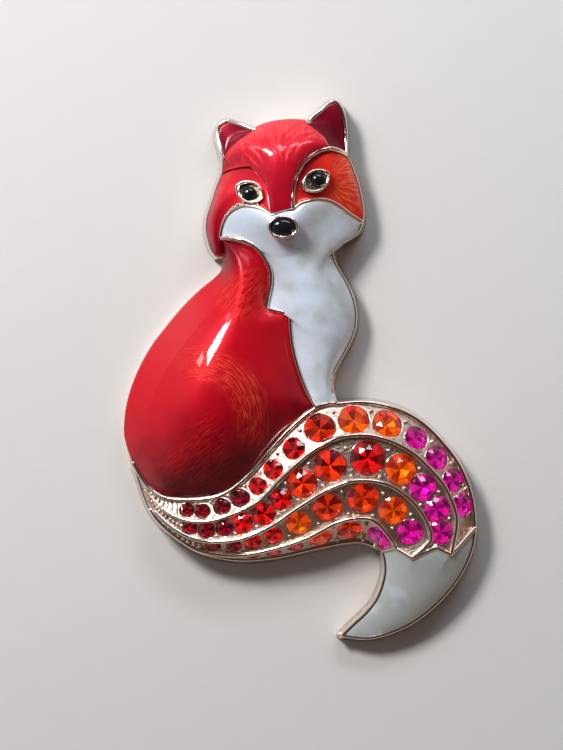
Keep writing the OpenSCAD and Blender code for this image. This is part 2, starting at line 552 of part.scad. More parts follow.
module at_eye(k) {
    translate(spot(EYES[k][1]))
        rotate([0, EYES[k][3], EYES[k][2]])
            children();
}
module at_nose() {
    translate([NOSE_PLACE[0] * brooch_w, NOSE_PLACE[1] * brooch_h, NOSE_PLACE[2] * brooch_t])
        children();
}

module prism(outline, low, high) {
    translate([0, 0, low])
        linear_extrude(high - low)
            polygon(outline);
}

module cup_walls() {
    for (k = [0, 1])
        at_eye(k)
            prism(almond(eye_l, eye_w), -rim_depth - cup_depth, 0);
    at_nose()
        prism(oval(nose_w, nose_h, 20), -rim_depth - cup_depth, 0);
}
module cup_hollows() {
    for (k = [0, 1])
        at_eye(k)
            prism(almond(eye_l - 3 * cup_rim, eye_w - 2 * cup_rim), -cup_depth, enamel_t);
    at_nose()
        prism(oval(nose_w - 2 * cup_rim, nose_h - 2 * cup_rim, 20), -cup_depth, enamel_t);
}

// A domed stone of round or oval outline, on a straight base.
module cabochon(outline, base, rise) {
    n = len(outline);
    levels = [[1, 0], [1, base], [cos(35), base + rise * sin(35)], [cos(68), base + rise * sin(68)]];
    rings = [for (v = levels) [for (p = outline) [p[0] * v[0], p[1] * v[0], v[1]]]];
    points = concat([for (r = rings) each r], [[0, 0, base + rise]]);
    top = len(points) - 1;
    polyhedron(points, concat(
        [[for (i = [0:n - 1]) i]],
        [for (r = [0:len(levels) - 2]) for (i = [0:n - 1])
            let (a = r * n + i, b = r * n + (i + 1) % n) [a, a + n, b + n, b]],
        [for (i = [0:n - 1]) let (a = (len(levels) - 1) * n + i, b = (len(levels) - 1) * n + (i + 1) % n)
            [a, top, b]]));
}

// Stones
// Station at which a given share of a row's length is reached.
ROW_FINE = 60;
function row_line(row) =
    [for (i = [0:ROW_FINE]) tail_point(mix(ROW_SPANS[row][0], ROW_SPANS[row][1], i / ROW_FINE), 7 - 2 * row)];
function summed(steps, k = 0, total = 0) =
    k == len(steps) ? [total] : concat([total], summed(steps, k + 1, total + steps[k]));
function row_station(row, share) =
    let (line = row_line(row),
         far = summed([for (i = [1:ROW_FINE]) norm(flat(line[i] - line[i - 1]))]),
         goal = share * far[ROW_FINE],
         k = min(len([for (d = far) if (d <= goal) d]) - 1, ROW_FINE - 1),
         s = (goal - far[k]) / (far[k + 1] - far[k]))
    mix(ROW_SPANS[row][0], ROW_SPANS[row][1], (k + s) / ROW_FINE);

// Places a stone on the floor of its channel, square to it.
function row_normal(f, row) =
    let (j = 7 - 2 * row,
         ahead = tail_point(f + 0.2, j) - tail_point(f - 0.2, j),
         over = tail_point(f, j + 1) - tail_point(f, j - 1))
    unit(cross(ahead, over));

module on_row(row, share) {
    f = row_station(row, share);
    n = row_normal(f, row);
    translate(tail_point(f, 7 - 2 * row) - n * channel_depth)
        rotate([0, acos(n[2]), atan2(n[1], n[0])])
            children();
}

module seat(d) {
    translate([0, 0, -base_share * d - stone_gap])
        cylinder(d = d + 2 * stone_gap, h = base_share * d + 2 * channel_depth, $fn = stone_sides);
}

module stone(d) {
    n = stone_sides;
    levels = [[0.5, -base_share], [0.5, 0.03], [0.3, crown_share]];
    rings = [for (v = levels) [for (i = [0:n - 1])
        [d * v[0] * cos(i * 360 / n), d * v[0] * sin(i * 360 / n), d * v[1]]]];
    polyhedron([for (r = rings) each r], concat(
        [[for (i = [0:n - 1]) i]],
        [for (r = [0, 1]) for (i = [0:n - 1])
            let (a = r * n + i, b = r * n + (i + 1) % n) [a, a + n, b + n, b]],
        [[for (i = [n - 1:-1:0]) 2 * n + i]]));
}

// A grain of metal that holds the stones on each side of it.
module bead() {
    hull() {
        translate([0, 0, -channel_depth])
            cylinder(d = bead_d, h = channel_depth + 0.1, $fn = 6);
        cylinder(d = bead_d / 2, h = bead_d * 0.45, $fn = 6);
    }
}

module beads() {
    for (row = [0:3])
        for (i = [1:len(STONE_ROWS[row]) - 1]) {
            here = (STONE_ROWS[row][i - 1][0] + STONE_ROWS[row][i][0]) / 2;
            aside = stone_d * (STONE_ROWS[row][i - 1][1] + STONE_ROWS[row][i][1]) / 4;
            on_row(row, here)
                translate([0, (i % 2 == 0 ? 1 : -1) * BEAD_ASIDE * aside, 0])
                    bead();
        }
}

// Casting: the metal under the enamel and the stones, and the hollow behind it, which has
// straighter walls.
module relief() {
    drop = enamel_t + enamel_gap;
    for (row = FIELDS)
        block(ribs(field_of(row, LAP), sparse(stations(row, RELIEF_CUTS)), 2, drop), 0);
    block(tail_net(channel_depth, 1, RELIEF_CUTS[0], LAP), 0);
    block(tip_net(0, TIP_STEPS - RELIEF_CUTS[1], 8, 1, false, drop), 0);
}
module hollow() {
    drop = enamel_t + enamel_gap + wall;
    intersection() {
        union() {
            for (k = HOLLOW_FIELDS)
                block(ribs(field_of(FIELDS[k], 3 * LAP), sparse(stations(FIELDS[k], HOLLOW_CUTS)), 1, drop),
                      -1);
            block(tail_net(channel_depth + base_share * stone_d + wall, 2, HOLLOW_CUTS[0], 3 * LAP), -1);
            block(tip_net(0, TIP_STEPS - HOLLOW_CUTS[1], 4, 2, false, drop), -1);
            translate([-brooch_w / 2, HEAD_FLOOR[0] * brooch_h, -1])
                cube([brooch_w, brooch_h / 2, HEAD_FLOOR[1] * brooch_t + 1]);
        }
        translate([0, 0, -1])
            linear_extrude(brooch_t + 1)
                offset(delta = -wall)
                    polygon([for (p = OUTLINE) flat(p)]);
    }
}

module pin_posts() {
    for (end = [-1, 1])
        translate([PIN_PLACE[0] * brooch_w, PIN_PLACE[1] * brooch_h + end * (pin_l / 2 - post_d / 2),
                   plate_z + plate_t + post_gap])
            cylinder(d = post_d, h = brooch_t * POST_TOP - plate_z - plate_t, $fn = 24);
}

// The room that the pin needs inside the casting, up to the posts that carry it.
module pin_room() {
    translate([PIN_PLACE[0] * brooch_w - plate_w / 2 - pin_gap, PIN_PLACE[1] * brooch_h - pin_l / 2 - pin_gap, -1])
        cube([plate_w + 2 * pin_gap, pin_l + 2 * pin_gap, plate_z + plate_t + pin_gap + 1]);
}

module casting() {
    color("gold")
        difference() {
            union() {
                difference() {
                    union() {
                        relief();
                        rims();
                        cup_walls();
                    }
                    hollow();
                    pin_room();
                }
                pin_posts();
                beads();
            }
            cup_hollows();
            for (row = [0:3])
                for (s = STONE_ROWS[row])
                    on_row(row, s[0])
                        seat(stone_d * s[1]);
        }
}

module enamel(k) {
    row = FIELDS[k];
    top = ribs(field_of(row), stations(row, row[5]), row[6], 0);
    color(row[1])
        difference() {
            slab(top, [for (r = top) [for (p = r) p - [0, 0, enamel_t]]]);
            children();
        }
}

module eye_hole(k) {
    at_eye(k)
        prism(almond(eye_l + 3 * enamel_gap, eye_w + 2 * enamel_gap), -2 * enamel_t - cup_depth, 3 * enamel_t);
}
module nose_hole() {
    at_nose()
        prism(oval(nose_w + 2 * enamel_gap, nose_h + 2 * enamel_gap, 20), -2 * enamel_t - cup_depth, 3 * enamel_t);
}

module body_enamel() { enamel(0); }
module forehead_enamel() { enamel(1) nose_hole(); }
module left_cheek_enamel() { enamel(2) eye_hole(0); }
module right_cheek_enamel() { enamel(3) eye_hole(1); }
module left_ear_enamel() { enamel(4); }
module right_ear_enamel() { enamel(5); }
module face_and_bib_enamel() { enamel(6) nose_hole(); }

module tail_tip_enamel() {
    top = tip_net(TIP_CUTS[0], TIP_STEPS - TIP_CUTS[1], TIP_STEPS + 1, 1, true, 0);
    color("ghostwhite")
        slab(top, [for (r = top) [for (p = r) p - [0, 0, enamel_t]]]);
}

module eye(k) {
    place = EYES[k][4];
    color("black")
        at_eye(k)
            translate([place[0] * eye_l, place[1] * eye_w, cabochon_gap - cup_depth])
                cabochon(oval(pupil_d, pupil_d, 12), cup_depth * 0.6, pupil_d * 0.35);
}

module nose() {
    l = nose_w - 2 * cup_rim - 2 * cabochon_gap;
    w = nose_h - 2 * cup_rim - 2 * cabochon_gap;
    base = cup_depth * 0.6;
    color("black")
        at_nose()
            translate([0, 0, cabochon_gap - cup_depth])
                cabochon(oval(l, w, 14), base,
                         (1 - NOSE_PLACE[2]) * brooch_t + cup_depth - base - cabochon_gap);
}

// The pin: a plate, a knuckle, a straight wire and a hooked catch in one piece.
module brooch_pin() {
    knuckle_d = plate_z + plate_t - wire_z + wire_d / 2;
    color("goldenrod")
        translate([PIN_PLACE[0] * brooch_w, PIN_PLACE[1] * brooch_h, 0]) {
            translate([-plate_w / 2, -pin_l / 2, plate_z])
                cube([plate_w, pin_l, plate_t]);
            translate([-plate_w / 2, pin_l / 2 - knuckle_d, wire_z + knuckle_d / 2 - wire_d / 2])
                rotate([0, 90, 0])
                    cylinder(d = knuckle_d, h = plate_w, $fn = 32);
            translate([0, -pin_l / 2 + wire_d, wire_z])
                rotate([-90, 0, 0])
                    cylinder(d = wire_d, h = pin_l - wire_d - knuckle_d, $fn = 24);
            translate([-plate_w / 2, -pin_l / 2, wire_z - wire_d / 2])
                cube([plate_w, 2 * wire_d, plate_z - wire_z + wire_d / 2]);
        }
}

module row_stone(row, i) {
    color(ROW_COLOURS[row])
        on_row(row, STONE_ROWS[row][i][0])
            stone(stone_d * STONE_ROWS[row][i][1]);
}

casting();
brooch_pin();
body_enamel();
forehead_enamel();
left_cheek_enamel();
right_cheek_enamel();
left_ear_enamel();
right_ear_enamel();
face_and_bib_enamel();
tail_tip_enamel();
eye(0);  // left_eye
eye(1);  // right_eye
nose();
for (row = [0:3])
    for (i = [1:STONE_COUNTS[row]])
        row_stone(row, i - 1);
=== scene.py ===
"""A seated fox brooch: polished rims, inlaid enamel, cut stones and black cabochons over its casting.

All shapes are worked out in millimetres in the brooch's own frame, X across, Y from tail to
ears and Z out of its face, and turned to metres when a piece is finished.
"""

import logging
import math
from dataclasses import dataclass, field
from enum import Enum
from functools import cached_property, lru_cache
from typing import Any, Callable, Sequence

import bmesh
import bpy
import numpy as np
from mathutils import Matrix, Vector
from mathutils.bvhtree import BVHTree


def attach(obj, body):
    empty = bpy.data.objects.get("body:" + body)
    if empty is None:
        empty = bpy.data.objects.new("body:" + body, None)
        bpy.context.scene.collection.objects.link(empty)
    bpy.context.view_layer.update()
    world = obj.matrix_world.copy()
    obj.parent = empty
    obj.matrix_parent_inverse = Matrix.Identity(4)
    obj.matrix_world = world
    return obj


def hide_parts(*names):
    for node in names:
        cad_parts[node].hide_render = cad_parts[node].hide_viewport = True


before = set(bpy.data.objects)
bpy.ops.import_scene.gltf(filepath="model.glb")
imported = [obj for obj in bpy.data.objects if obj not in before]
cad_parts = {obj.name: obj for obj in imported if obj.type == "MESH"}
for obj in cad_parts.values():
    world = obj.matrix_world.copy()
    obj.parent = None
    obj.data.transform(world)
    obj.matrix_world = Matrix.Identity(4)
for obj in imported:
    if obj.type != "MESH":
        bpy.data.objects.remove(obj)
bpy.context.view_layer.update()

LOG = logging.getLogger("fox_brooch")
MM = 0.001
PIXELS_PER_MM = 9.0
# The pixel of the photograph at the brooch's middle.
PHOTO_MIDDLE = (302.5, 370.5)
# Width, height and depth that the tables' shares are of.
SPAN = Vector((39.0, 60.1, 9.0))
RIM_WIDTH = 0.45
CROWN = 0.15
CHANNEL_DEPTH = 0.5
# The visible floor of the channels lies this far over the casting's.
FLOOR_LIFT = 0.09
ENAMEL_SKIRT = 0.55
# Smoothed enamel lies at most this far below its CAD node's face, so that no metal shows through.
MOST_SINK = 0.3
# Rows of vertices next to a field's border that keep their height.
BORDER_ROWS = 3
# Rounds of smoothing after the enamel was raised.
LAST_ROUNDS = 14
# A height over everything, from which the CAD's faces are looked for.
OVER_ALL = 20.0
# Swell of a field from its side to its crest: higher is fuller.
FULLNESS = 2.0
# Power that sets how the steps of a rib thin out towards its crest.
RIB_PACE = 1.15
# Ribs keep this far from a field's ends, in steps.
RIB_END = 0.02
# The least share of a rib that a border takes, and the largest for a thin and for a wide one.
BORDER_SHARES = (-0.12, 0.2, 0.6)
# Borders over this width, in millimetres, are wide ones.
WIDE_BORDER = 0.3
# Steps of a finished mesh for each step of the drawing, and those along a groove.
FINE = 8
GROOVE_STEPS = 40
# Vertices of one sweep, and of pieces that are made in a ring, are merged within these distances.
SAME_PLACE = 0.00001
MERGE = 0.0005


class Border(Enum):
    """How far enamel stays from a line of the drawing, in millimetres."""

    WRAPPED = -0.36
    THIN = 0.17
    RIMMED = 0.40
    INNER = 0.15
    SOFT = -0.001


class Slot(Enum):
    """The record's material slots."""

    GOLD = "pale_gold"
    PIN = "pin_metal"
    RED = "red_enamel"
    ORANGE_RED = "orange_red_enamel"
    DARK_RED = "dark_red_enamel"
    WHITE = "white_enamel"
    BLACK = "black_glass"
    GARNET = "stone_garnet"
    SIAM = "stone_red"
    HYACINTH = "stone_hyacinth"
    ORANGE = "stone_orange"
    FUCHSIA = "stone_fuchsia"


# Lines of the drawing, as shares of SPAN from the brooch's middle and its back.
LINES: dict[str, tuple[Border, list[tuple[float, float, float]]]] = {
    "left_ear": (Border.RIMMED, [
        (-0.226, 0.387, 0.51), (-0.238, 0.415, 0.47), (-0.246, 0.440, 0.41), (-0.235, 0.458, 0.38),
        (-0.209, 0.465, 0.40), (-0.175, 0.458, 0.49), (-0.130, 0.446, 0.56)]),
    "left_ear_base": (Border.SOFT, [
        (-0.226, 0.387, 0.51), (-0.208, 0.406, 0.58), (-0.175, 0.425, 0.62), (-0.130, 0.446, 0.56)]),
    "head_top": (Border.WRAPPED, [
        (-0.130, 0.446, 0.56), (-0.084, 0.455, 0.54), (-0.033, 0.459, 0.54), (0.014, 0.457, 0.56)]),
    "right_ear": (Border.RIMMED, [
        (0.014, 0.457, 0.56), (0.021, 0.466, 0.52), (0.050, 0.482, 0.47), (0.077, 0.498, 0.40),
        (0.100, 0.499, 0.37), (0.118, 0.483, 0.36), (0.128, 0.457, 0.36), (0.130, 0.426, 0.39),
        (0.130, 0.398, 0.47)]),
    "right_ear_base": (Border.SOFT, [
        (0.014, 0.457, 0.56), (0.041, 0.442, 0.64), (0.066, 0.428, 0.67), (0.081, 0.409, 0.69)]),
    "right_brow": (Border.INNER, [
        (-0.024, 0.295, 0.88), (-0.027, 0.311, 0.87), (-0.024, 0.332, 0.84), (-0.017, 0.352, 0.83),
        (-0.004, 0.373, 0.81), (0.019, 0.391, 0.78), (0.050, 0.404, 0.73), (0.081, 0.409, 0.69)]),
    "right_brow_end": (Border.INNER, [(0.081, 0.409, 0.69), (0.107, 0.405, 0.59), (0.130, 0.398, 0.47)]),
    "head_right": (Border.THIN, [
        (0.130, 0.398, 0.47), (0.145, 0.378, 0.42), (0.161, 0.350, 0.39), (0.172, 0.319, 0.37),
        (0.178, 0.293, 0.36), (0.174, 0.274, 0.37)]),
    "right_cheek_top": (Border.INNER, [
        (-0.024, 0.295, 0.88), (-0.007, 0.305, 0.83), (0.019, 0.311, 0.79), (0.050, 0.314, 0.73),
        (0.081, 0.311, 0.66), (0.110, 0.301, 0.58), (0.141, 0.287, 0.47), (0.174, 0.274, 0.37)]),
    "nose_top": (Border.INNER, [(-0.084, 0.284, 0.88), (-0.024, 0.295, 0.88)]),
    "left_brow": (Border.SOFT, [
        (-0.229, 0.365, 0.41), (-0.204, 0.371, 0.56), (-0.175, 0.374, 0.67), (-0.150, 0.374, 0.73),
        (-0.127, 0.364, 0.78), (-0.107, 0.347, 0.81), (-0.094, 0.326, 0.84), (-0.087, 0.304, 0.87),
        (-0.084, 0.284, 0.88)]),
    "left_cheek_top": (Border.INNER, [
        (-0.084, 0.284, 0.88), (-0.107, 0.294, 0.82), (-0.135, 0.300, 0.77), (-0.167, 0.302, 0.70),
        (-0.194, 0.295, 0.63), (-0.215, 0.282, 0.57), (-0.227, 0.263, 0.51), (-0.232, 0.244, 0.48)]),
    "head_left_upper": (Border.THIN, [(-0.226, 0.387, 0.51), (-0.229, 0.365, 0.41)]),
    "head_left": (Border.THIN, [
        (-0.229, 0.365, 0.41), (-0.244, 0.341, 0.38), (-0.259, 0.311, 0.36), (-0.272, 0.284, 0.34),
        (-0.275, 0.262, 0.33), (-0.269, 0.241, 0.33), (-0.261, 0.224, 0.33), (-0.246, 0.210, 0.33)]),
    "lobe": (Border.THIN, [(-0.246, 0.210, 0.33), (-0.222, 0.210, 0.36)]),
    "nape": (Border.SOFT, [(-0.232, 0.244, 0.48), (-0.226, 0.227, 0.42), (-0.222, 0.210, 0.36)]),
    "jaw": (Border.INNER, [
        (-0.232, 0.244, 0.48), (-0.195, 0.244, 0.56), (-0.158, 0.238, 0.60), (-0.130, 0.226, 0.61),
        (-0.107, 0.208, 0.60), (-0.091, 0.187, 0.58), (-0.088, 0.164, 0.56), (-0.095, 0.140, 0.54),
        (-0.102, 0.115, 0.53)]),
    "bib_step": (Border.INNER, [(-0.102, 0.115, 0.53), (-0.033, 0.104, 0.58)]),
    "bib_left": (Border.INNER, [
        (-0.033, 0.104, 0.58), (-0.032, 0.075, 0.56), (-0.027, 0.047, 0.54), (-0.016, 0.016, 0.54),
        (0.000, -0.016, 0.55), (0.019, -0.045, 0.58), (0.043, -0.068, 0.62)]),
    "bib_right": (Border.THIN, [
        (0.174, 0.274, 0.37), (0.165, 0.258, 0.36), (0.141, 0.244, 0.37), (0.113, 0.234, 0.38),
        (0.094, 0.224, 0.38), (0.091, 0.211, 0.37), (0.105, 0.191, 0.36), (0.127, 0.166, 0.34),
        (0.145, 0.140, 0.33), (0.156, 0.112, 0.33), (0.155, 0.084, 0.33), (0.142, 0.056, 0.33),
        (0.118, 0.026, 0.34), (0.095, -0.002, 0.37), (0.088, -0.023, 0.42), (0.091, -0.042, 0.50),
        (0.101, -0.059, 0.58)]),
    "back": (Border.WRAPPED, [
        (-0.222, 0.210, 0.36), (-0.222, 0.198, 0.33), (-0.224, 0.182, 0.32), (-0.248, 0.165, 0.31),
        (-0.286, 0.145, 0.30), (-0.332, 0.116, 0.29), (-0.380, 0.079, 0.29), (-0.426, 0.039, 0.29),
        (-0.464, -0.008, 0.29), (-0.489, -0.055, 0.29), (-0.499, -0.099, 0.29),
        (-0.497, -0.136, 0.29), (-0.484, -0.169, 0.29)]),
    "blade_back": (Border.THIN, [
        (0.499, -0.289, 0.36), (0.491, -0.326, 0.34), (0.470, -0.363, 0.33), (0.434, -0.400, 0.33),
        (0.386, -0.435, 0.32), (0.326, -0.466, 0.31), (0.261, -0.487, 0.29), (0.187, -0.499, 0.26),
        (0.108, -0.494, 0.21)]),
    "blade_front": (Border.THIN, [
        (0.226, -0.335, 0.42), (0.233, -0.354, 0.41), (0.234, -0.374, 0.40), (0.227, -0.396, 0.38),
        (0.215, -0.417, 0.36), (0.197, -0.436, 0.32), (0.172, -0.454, 0.29), (0.145, -0.470, 0.26),
        (0.108, -0.494, 0.21)]),
}

# The tail's stations, from its root to the white tip. Columns: its inner rim, the ridge between
# rows 4 and 3, that between rows 3 and 2, that between rows 2 and 1, and its outer rim.
TAIL = [
    [(-0.481, -0.180, 0.26), (-0.482, -0.177, 0.27), (-0.483, -0.175, 0.28), (-0.484, -0.172, 0.29),
     (-0.484, -0.169, 0.29)],
    [(-0.452, -0.238, 0.23), (-0.450, -0.232, 0.31), (-0.449, -0.226, 0.34), (-0.447, -0.218, 0.36),
     (-0.446, -0.210, 0.33)],
    [(-0.416, -0.281, 0.22), (-0.415, -0.274, 0.36), (-0.412, -0.265, 0.42), (-0.406, -0.250, 0.43),
     (-0.400, -0.233, 0.39)],
    [(-0.355, -0.315, 0.22), (-0.353, -0.310, 0.39), (-0.352, -0.297, 0.49), (-0.349, -0.272, 0.51),
     (-0.352, -0.239, 0.43)],
    [(-0.285, -0.341, 0.22), (-0.283, -0.335, 0.40), (-0.281, -0.314, 0.54), (-0.281, -0.279, 0.58),
     (-0.283, -0.238, 0.48)],
    [(-0.181, -0.354, 0.22), (-0.181, -0.342, 0.43), (-0.187, -0.312, 0.61), (-0.201, -0.266, 0.64),
     (-0.218, -0.227, 0.52)],
    [(-0.073, -0.349, 0.22), (-0.078, -0.329, 0.48), (-0.093, -0.289, 0.67), (-0.118, -0.239, 0.70),
     (-0.152, -0.194, 0.56)],
    [(0.024, -0.335, 0.22), (0.016, -0.309, 0.54), (-0.007, -0.251, 0.73), (-0.050, -0.194, 0.76),
     (-0.090, -0.148, 0.59)],
    [(0.113, -0.323, 0.22), (0.098, -0.281, 0.60), (0.070, -0.220, 0.79), (0.019, -0.153, 0.80),
     (-0.027, -0.104, 0.61)],
    [(0.158, -0.320, 0.22), (0.147, -0.273, 0.63), (0.127, -0.205, 0.82), (0.081, -0.129, 0.82),
     (0.043, -0.068, 0.62)],
    [(0.181, -0.322, 0.22), (0.172, -0.272, 0.64), (0.161, -0.202, 0.82), (0.130, -0.120, 0.82),
     (0.101, -0.059, 0.58)],
    [(0.195, -0.325, 0.22), (0.195, -0.274, 0.64), (0.204, -0.203, 0.81), (0.192, -0.119, 0.80),
     (0.181, -0.056, 0.51)],
    [(0.207, -0.329, 0.23), (0.217, -0.283, 0.63), (0.249, -0.211, 0.78), (0.255, -0.131, 0.77),
     (0.264, -0.067, 0.47)],
    [(0.215, -0.331, 0.27), (0.235, -0.295, 0.61), (0.289, -0.227, 0.73), (0.315, -0.152, 0.72),
     (0.340, -0.092, 0.43)],
    [(0.221, -0.333, 0.31), (0.249, -0.307, 0.59), (0.326, -0.250, 0.69), (0.369, -0.185, 0.68),
     (0.406, -0.133, 0.41)],
    [(0.223, -0.333, 0.36), (0.259, -0.315, 0.57), (0.355, -0.280, 0.64), (0.410, -0.219, 0.62),
     (0.457, -0.179, 0.39)],
    [(0.225, -0.334, 0.40), (0.265, -0.323, 0.54), (0.366, -0.313, 0.60), (0.440, -0.273, 0.57),
     (0.489, -0.234, 0.37)],
    [(0.226, -0.335, 0.42), (0.268, -0.328, 0.53), (0.313, -0.346, 0.57), (0.425, -0.340, 0.51),
     (0.499, -0.289, 0.36)],
]
TAIL_END = len(TAIL) - 1
# Lines that are stretches of the tail's rails. Columns: rail, first station and last station.
TAIL_LINES = {"tail_top": (4, 0, 9), "bib_bottom": (4, 9, 10), "tail_back": (4, 10, TAIL_END),
              "tail_under": (0, 0, TAIL_END)}
# How far the white tip's edge reaches up into the second row, in tail stations.
TIP_PULL = {5: 0.4}


def sized(share: Sequence[float]) -> Vector:
    """Turns shares of the brooch's sizes into millimetres."""
    return Vector((share[0] * SPAN.x, share[1] * SPAN.y, share[2] * SPAN.z))


def at_pixel(x: float, y: float, z: float = 0.0) -> Vector:
    """Turns a pixel of the photograph into millimetres."""
    return Vector(((x - PHOTO_MIDDLE[0]) / PIXELS_PER_MM, (PHOTO_MIDDLE[1] - y) / PIXELS_PER_MM, z))


def on_curve(points: Sequence[Vector], place: float) -> Vector:
    """Finds a point on the smooth curve through some points.

    Args:
        points: The points that the curve passes through.
        place: How far along, where point k has place k.

    Returns:
        The point of the curve.
    """
    last = len(points) - 1
    k = max(0, min(int(place), last - 1))
    s = place - k
    a, b, c, d = points[max(k - 1, 0)], points[k], points[k + 1], points[min(k + 2, last)]
    return (2 * b + (c - a) * s + (2 * a - 5 * b + 4 * c - d) * s**2 + (3 * b - a - 3 * c + d) * s**3) / 2


RAILS = [[sized(station[rail]) for station in TAIL] for rail in range(5)]
DRAWN = {name: (border, [sized(p) for p in points]) for name, (border, points) in LINES.items()}


def line_at(name: str, share: float) -> Vector:
    """Finds a point on a named line of the drawing, from its start at 0 to its end at 1.

    Args:
        name: The line's name.
        share: How far along it the point is.

    Returns:
        The point.
    """
    if name in TAIL_LINES:
        rail, first, last = TAIL_LINES[name]
        return on_curve(RAILS[rail], first + (last - first) * share)
    points = DRAWN[name][1]
    return on_curve(points, share * (len(points) - 1))


def border_of(name: str) -> Border:
    """Tells how enamel meets a named line.

    Args:
        name: The line's name.

    Returns:
        Its border.
    """
    if name in TAIL_LINES:
        return Border.INNER
    return DRAWN[name][0]


def tail_point(station: float, across: float) -> Vector:
    """Finds a point across the tail.

    Args:
        station: The place along the tail, from 0 at its root to TAIL_END.
        across: The place from its inner rim, 0, to its outer rim, 8. Even places are rims and
            ridges, and odd ones the middles of the rows.

    Returns:
        The point, on the straight line between two rims or ridges.
    """
    def knot(j: int) -> Vector:
        """Finds a point of a rim, a ridge or the middle of a row.

        Args:
            j: The place across the tail, as a whole number.

        Returns:
            The point.
        """
        if j % 2 == 0:
            return on_curve(RAILS[j // 2], station)
        f = station - TIP_PULL.get(j, 0) * max(0.0, station - TAIL_END + 1)
        return (on_curve(RAILS[(j - 1) // 2], f) + on_curve(RAILS[(j + 1) // 2], f)) / 2

    low = max(0, min(int(across), 7))
    return knot(low).lerp(knot(low + 1), across - low)


@dataclass(frozen=True)
class Chain:
    """Lines of the drawing joined end to end.

    Attributes:
        parts: Each line's name and its number of steps, negative where it runs backwards.
    """

    parts: tuple[tuple[str, int], ...]

    @cached_property
    def length(self) -> int:
        """Counts the steps."""
        return sum(abs(steps) for _, steps in self.parts)

    def part_at(self, place: float) -> tuple[str, float]:
        """Finds the line at a place, and the share of that line.

        Args:
            place: The place in steps from the chain's start.

        Returns:
            The line's name and how far along it the place is, from 0 to 1.
        """
        place = max(0.0, min(place, self.length))
        for name, steps in self.parts:
            if place <= abs(steps) or (name, steps) == self.parts[-1]:
                share = min(1.0, place / abs(steps))
                return name, share if steps > 0 else 1 - share
            place -= abs(steps)
        raise ValueError("the chain has no parts")

    def at(self, place: float) -> Vector:
        """Finds the point at a place counted in steps."""
        return line_at(*self.part_at(place))

    def value(self, place: float, values: Callable[[str], float]) -> float:
        """Averages a value of the lines round a place, so that it changes gently from line to line."""
        near = (-0.4, -0.2, 0.0, 0.2, 0.4)
        return sum(values(self.part_at(place + step)[0]) for step in near) / len(near)

    def heading(self, place: float, reach: float = 0.1) -> Vector:
        """Finds the level direction of the chain at a place."""
        way = self.at(place + reach) - self.at(place - reach)
        return Vector((way.x, way.y, 0)).normalized()


def new_shape() -> bmesh.types.BMesh:
    """Starts an empty shape that carries a UV map.

    Returns:
        The shape.
    """
    shape = bmesh.new()
    shape.loops.layers.uv.new("UVMap")
    return shape


def sheet(shape: bmesh.types.BMesh, columns: int, rows: int,
          place: Callable[[float, float], Vector]) -> list[bmesh.types.BMVert]:
    """Adds a grid and bends it to its form.

    Args:
        shape: The shape that it is added to.
        columns: Steps along the grid.
        rows: Steps across it.
        place: Gives the point at a share along and a share across.

    Returns:
        The grid's vertices.
    """
    made = bmesh.ops.create_grid(shape, x_segments=columns, y_segments=rows, size=0.5, calc_uvs=True)
    for vert in made["verts"]:
        vert.co = place(min(1.0, max(0.0, vert.co.x + 0.5)), min(1.0, max(0.0, vert.co.y + 0.5)))
    return made["verts"]


# Gives the point, the outward direction and the upward direction at a share of a way.
Route = Callable[[float], tuple[Vector, Vector, Vector]]


def sweep(shape: bmesh.types.BMesh, columns: int, route: Route,
          section: Sequence[tuple[float, float | None]]) -> None:
    """Draws a section along a route.

    Args:
        shape: The shape that it is added to.
        columns: Steps along the route.
        route: The route.
        section: Points as distance outwards and height, None for a foot on the ground.
    """
    stops = [route(i / columns) for i in range(columns + 1)]
    section = [*section, section[0]]
    last = len(section) - 1

    def place(along: float, across: float) -> Vector:
        """Puts one vertex of the section in place.

        Args:
            along: The share of the way along.
            across: The share of the way across.

        Returns:
            The vertex's place.
        """
        point, out, up = stops[round(along * columns)]
        aside, height = section[round(across * last)]
        if height is None:
            return Vector((point.x + out.x * aside, point.y + out.y * aside, 0.0))
        return point + out * aside + up * height

    made = sheet(shape, columns, last, place)
    bmesh.ops.remove_doubles(shape, verts=made, dist=SAME_PLACE)


def add_bead(shape: bmesh.types.BMesh, radius: float, seat: Matrix) -> None:
    """Adds a small bead to a shape."""
    bmesh.ops.create_uvsphere(shape, u_segments=10, v_segments=6, radius=radius, matrix=seat, calc_uvs=True)


def cut_out(shape: bmesh.types.BMesh, inside: Callable[[Vector], bool]) -> None:
    """Removes the faces whose middles lie inside something, and those left hanging by a corner.

    Args:
        shape: The sheet.
        inside: Tells whether a point lies inside.
    """
    doomed = [face for face in shape.faces if inside(face.calc_center_median())]
    bmesh.ops.delete(shape, geom=doomed, context="FACES")
    pinched = True
    while pinched:
        pinched = [vert for vert in shape.verts if sum(edge.is_boundary for edge in vert.link_edges) > 2]
        bmesh.ops.delete(shape, geom=pinched, context="VERTS")


def relax(shape: bmesh.types.BMesh, rounds: int) -> None:
    """Smooths an open sheet inside its border, a number of times.

    Args:
        shape: The sheet.
        rounds: How often it is smoothed.
    """
    inner = [vert for vert in shape.verts if not vert.is_boundary]
    for _ in range(rounds):
        bmesh.ops.smooth_vert(shape, verts=inner, factor=0.5, use_axis_x=True, use_axis_y=True,
                              use_axis_z=True)


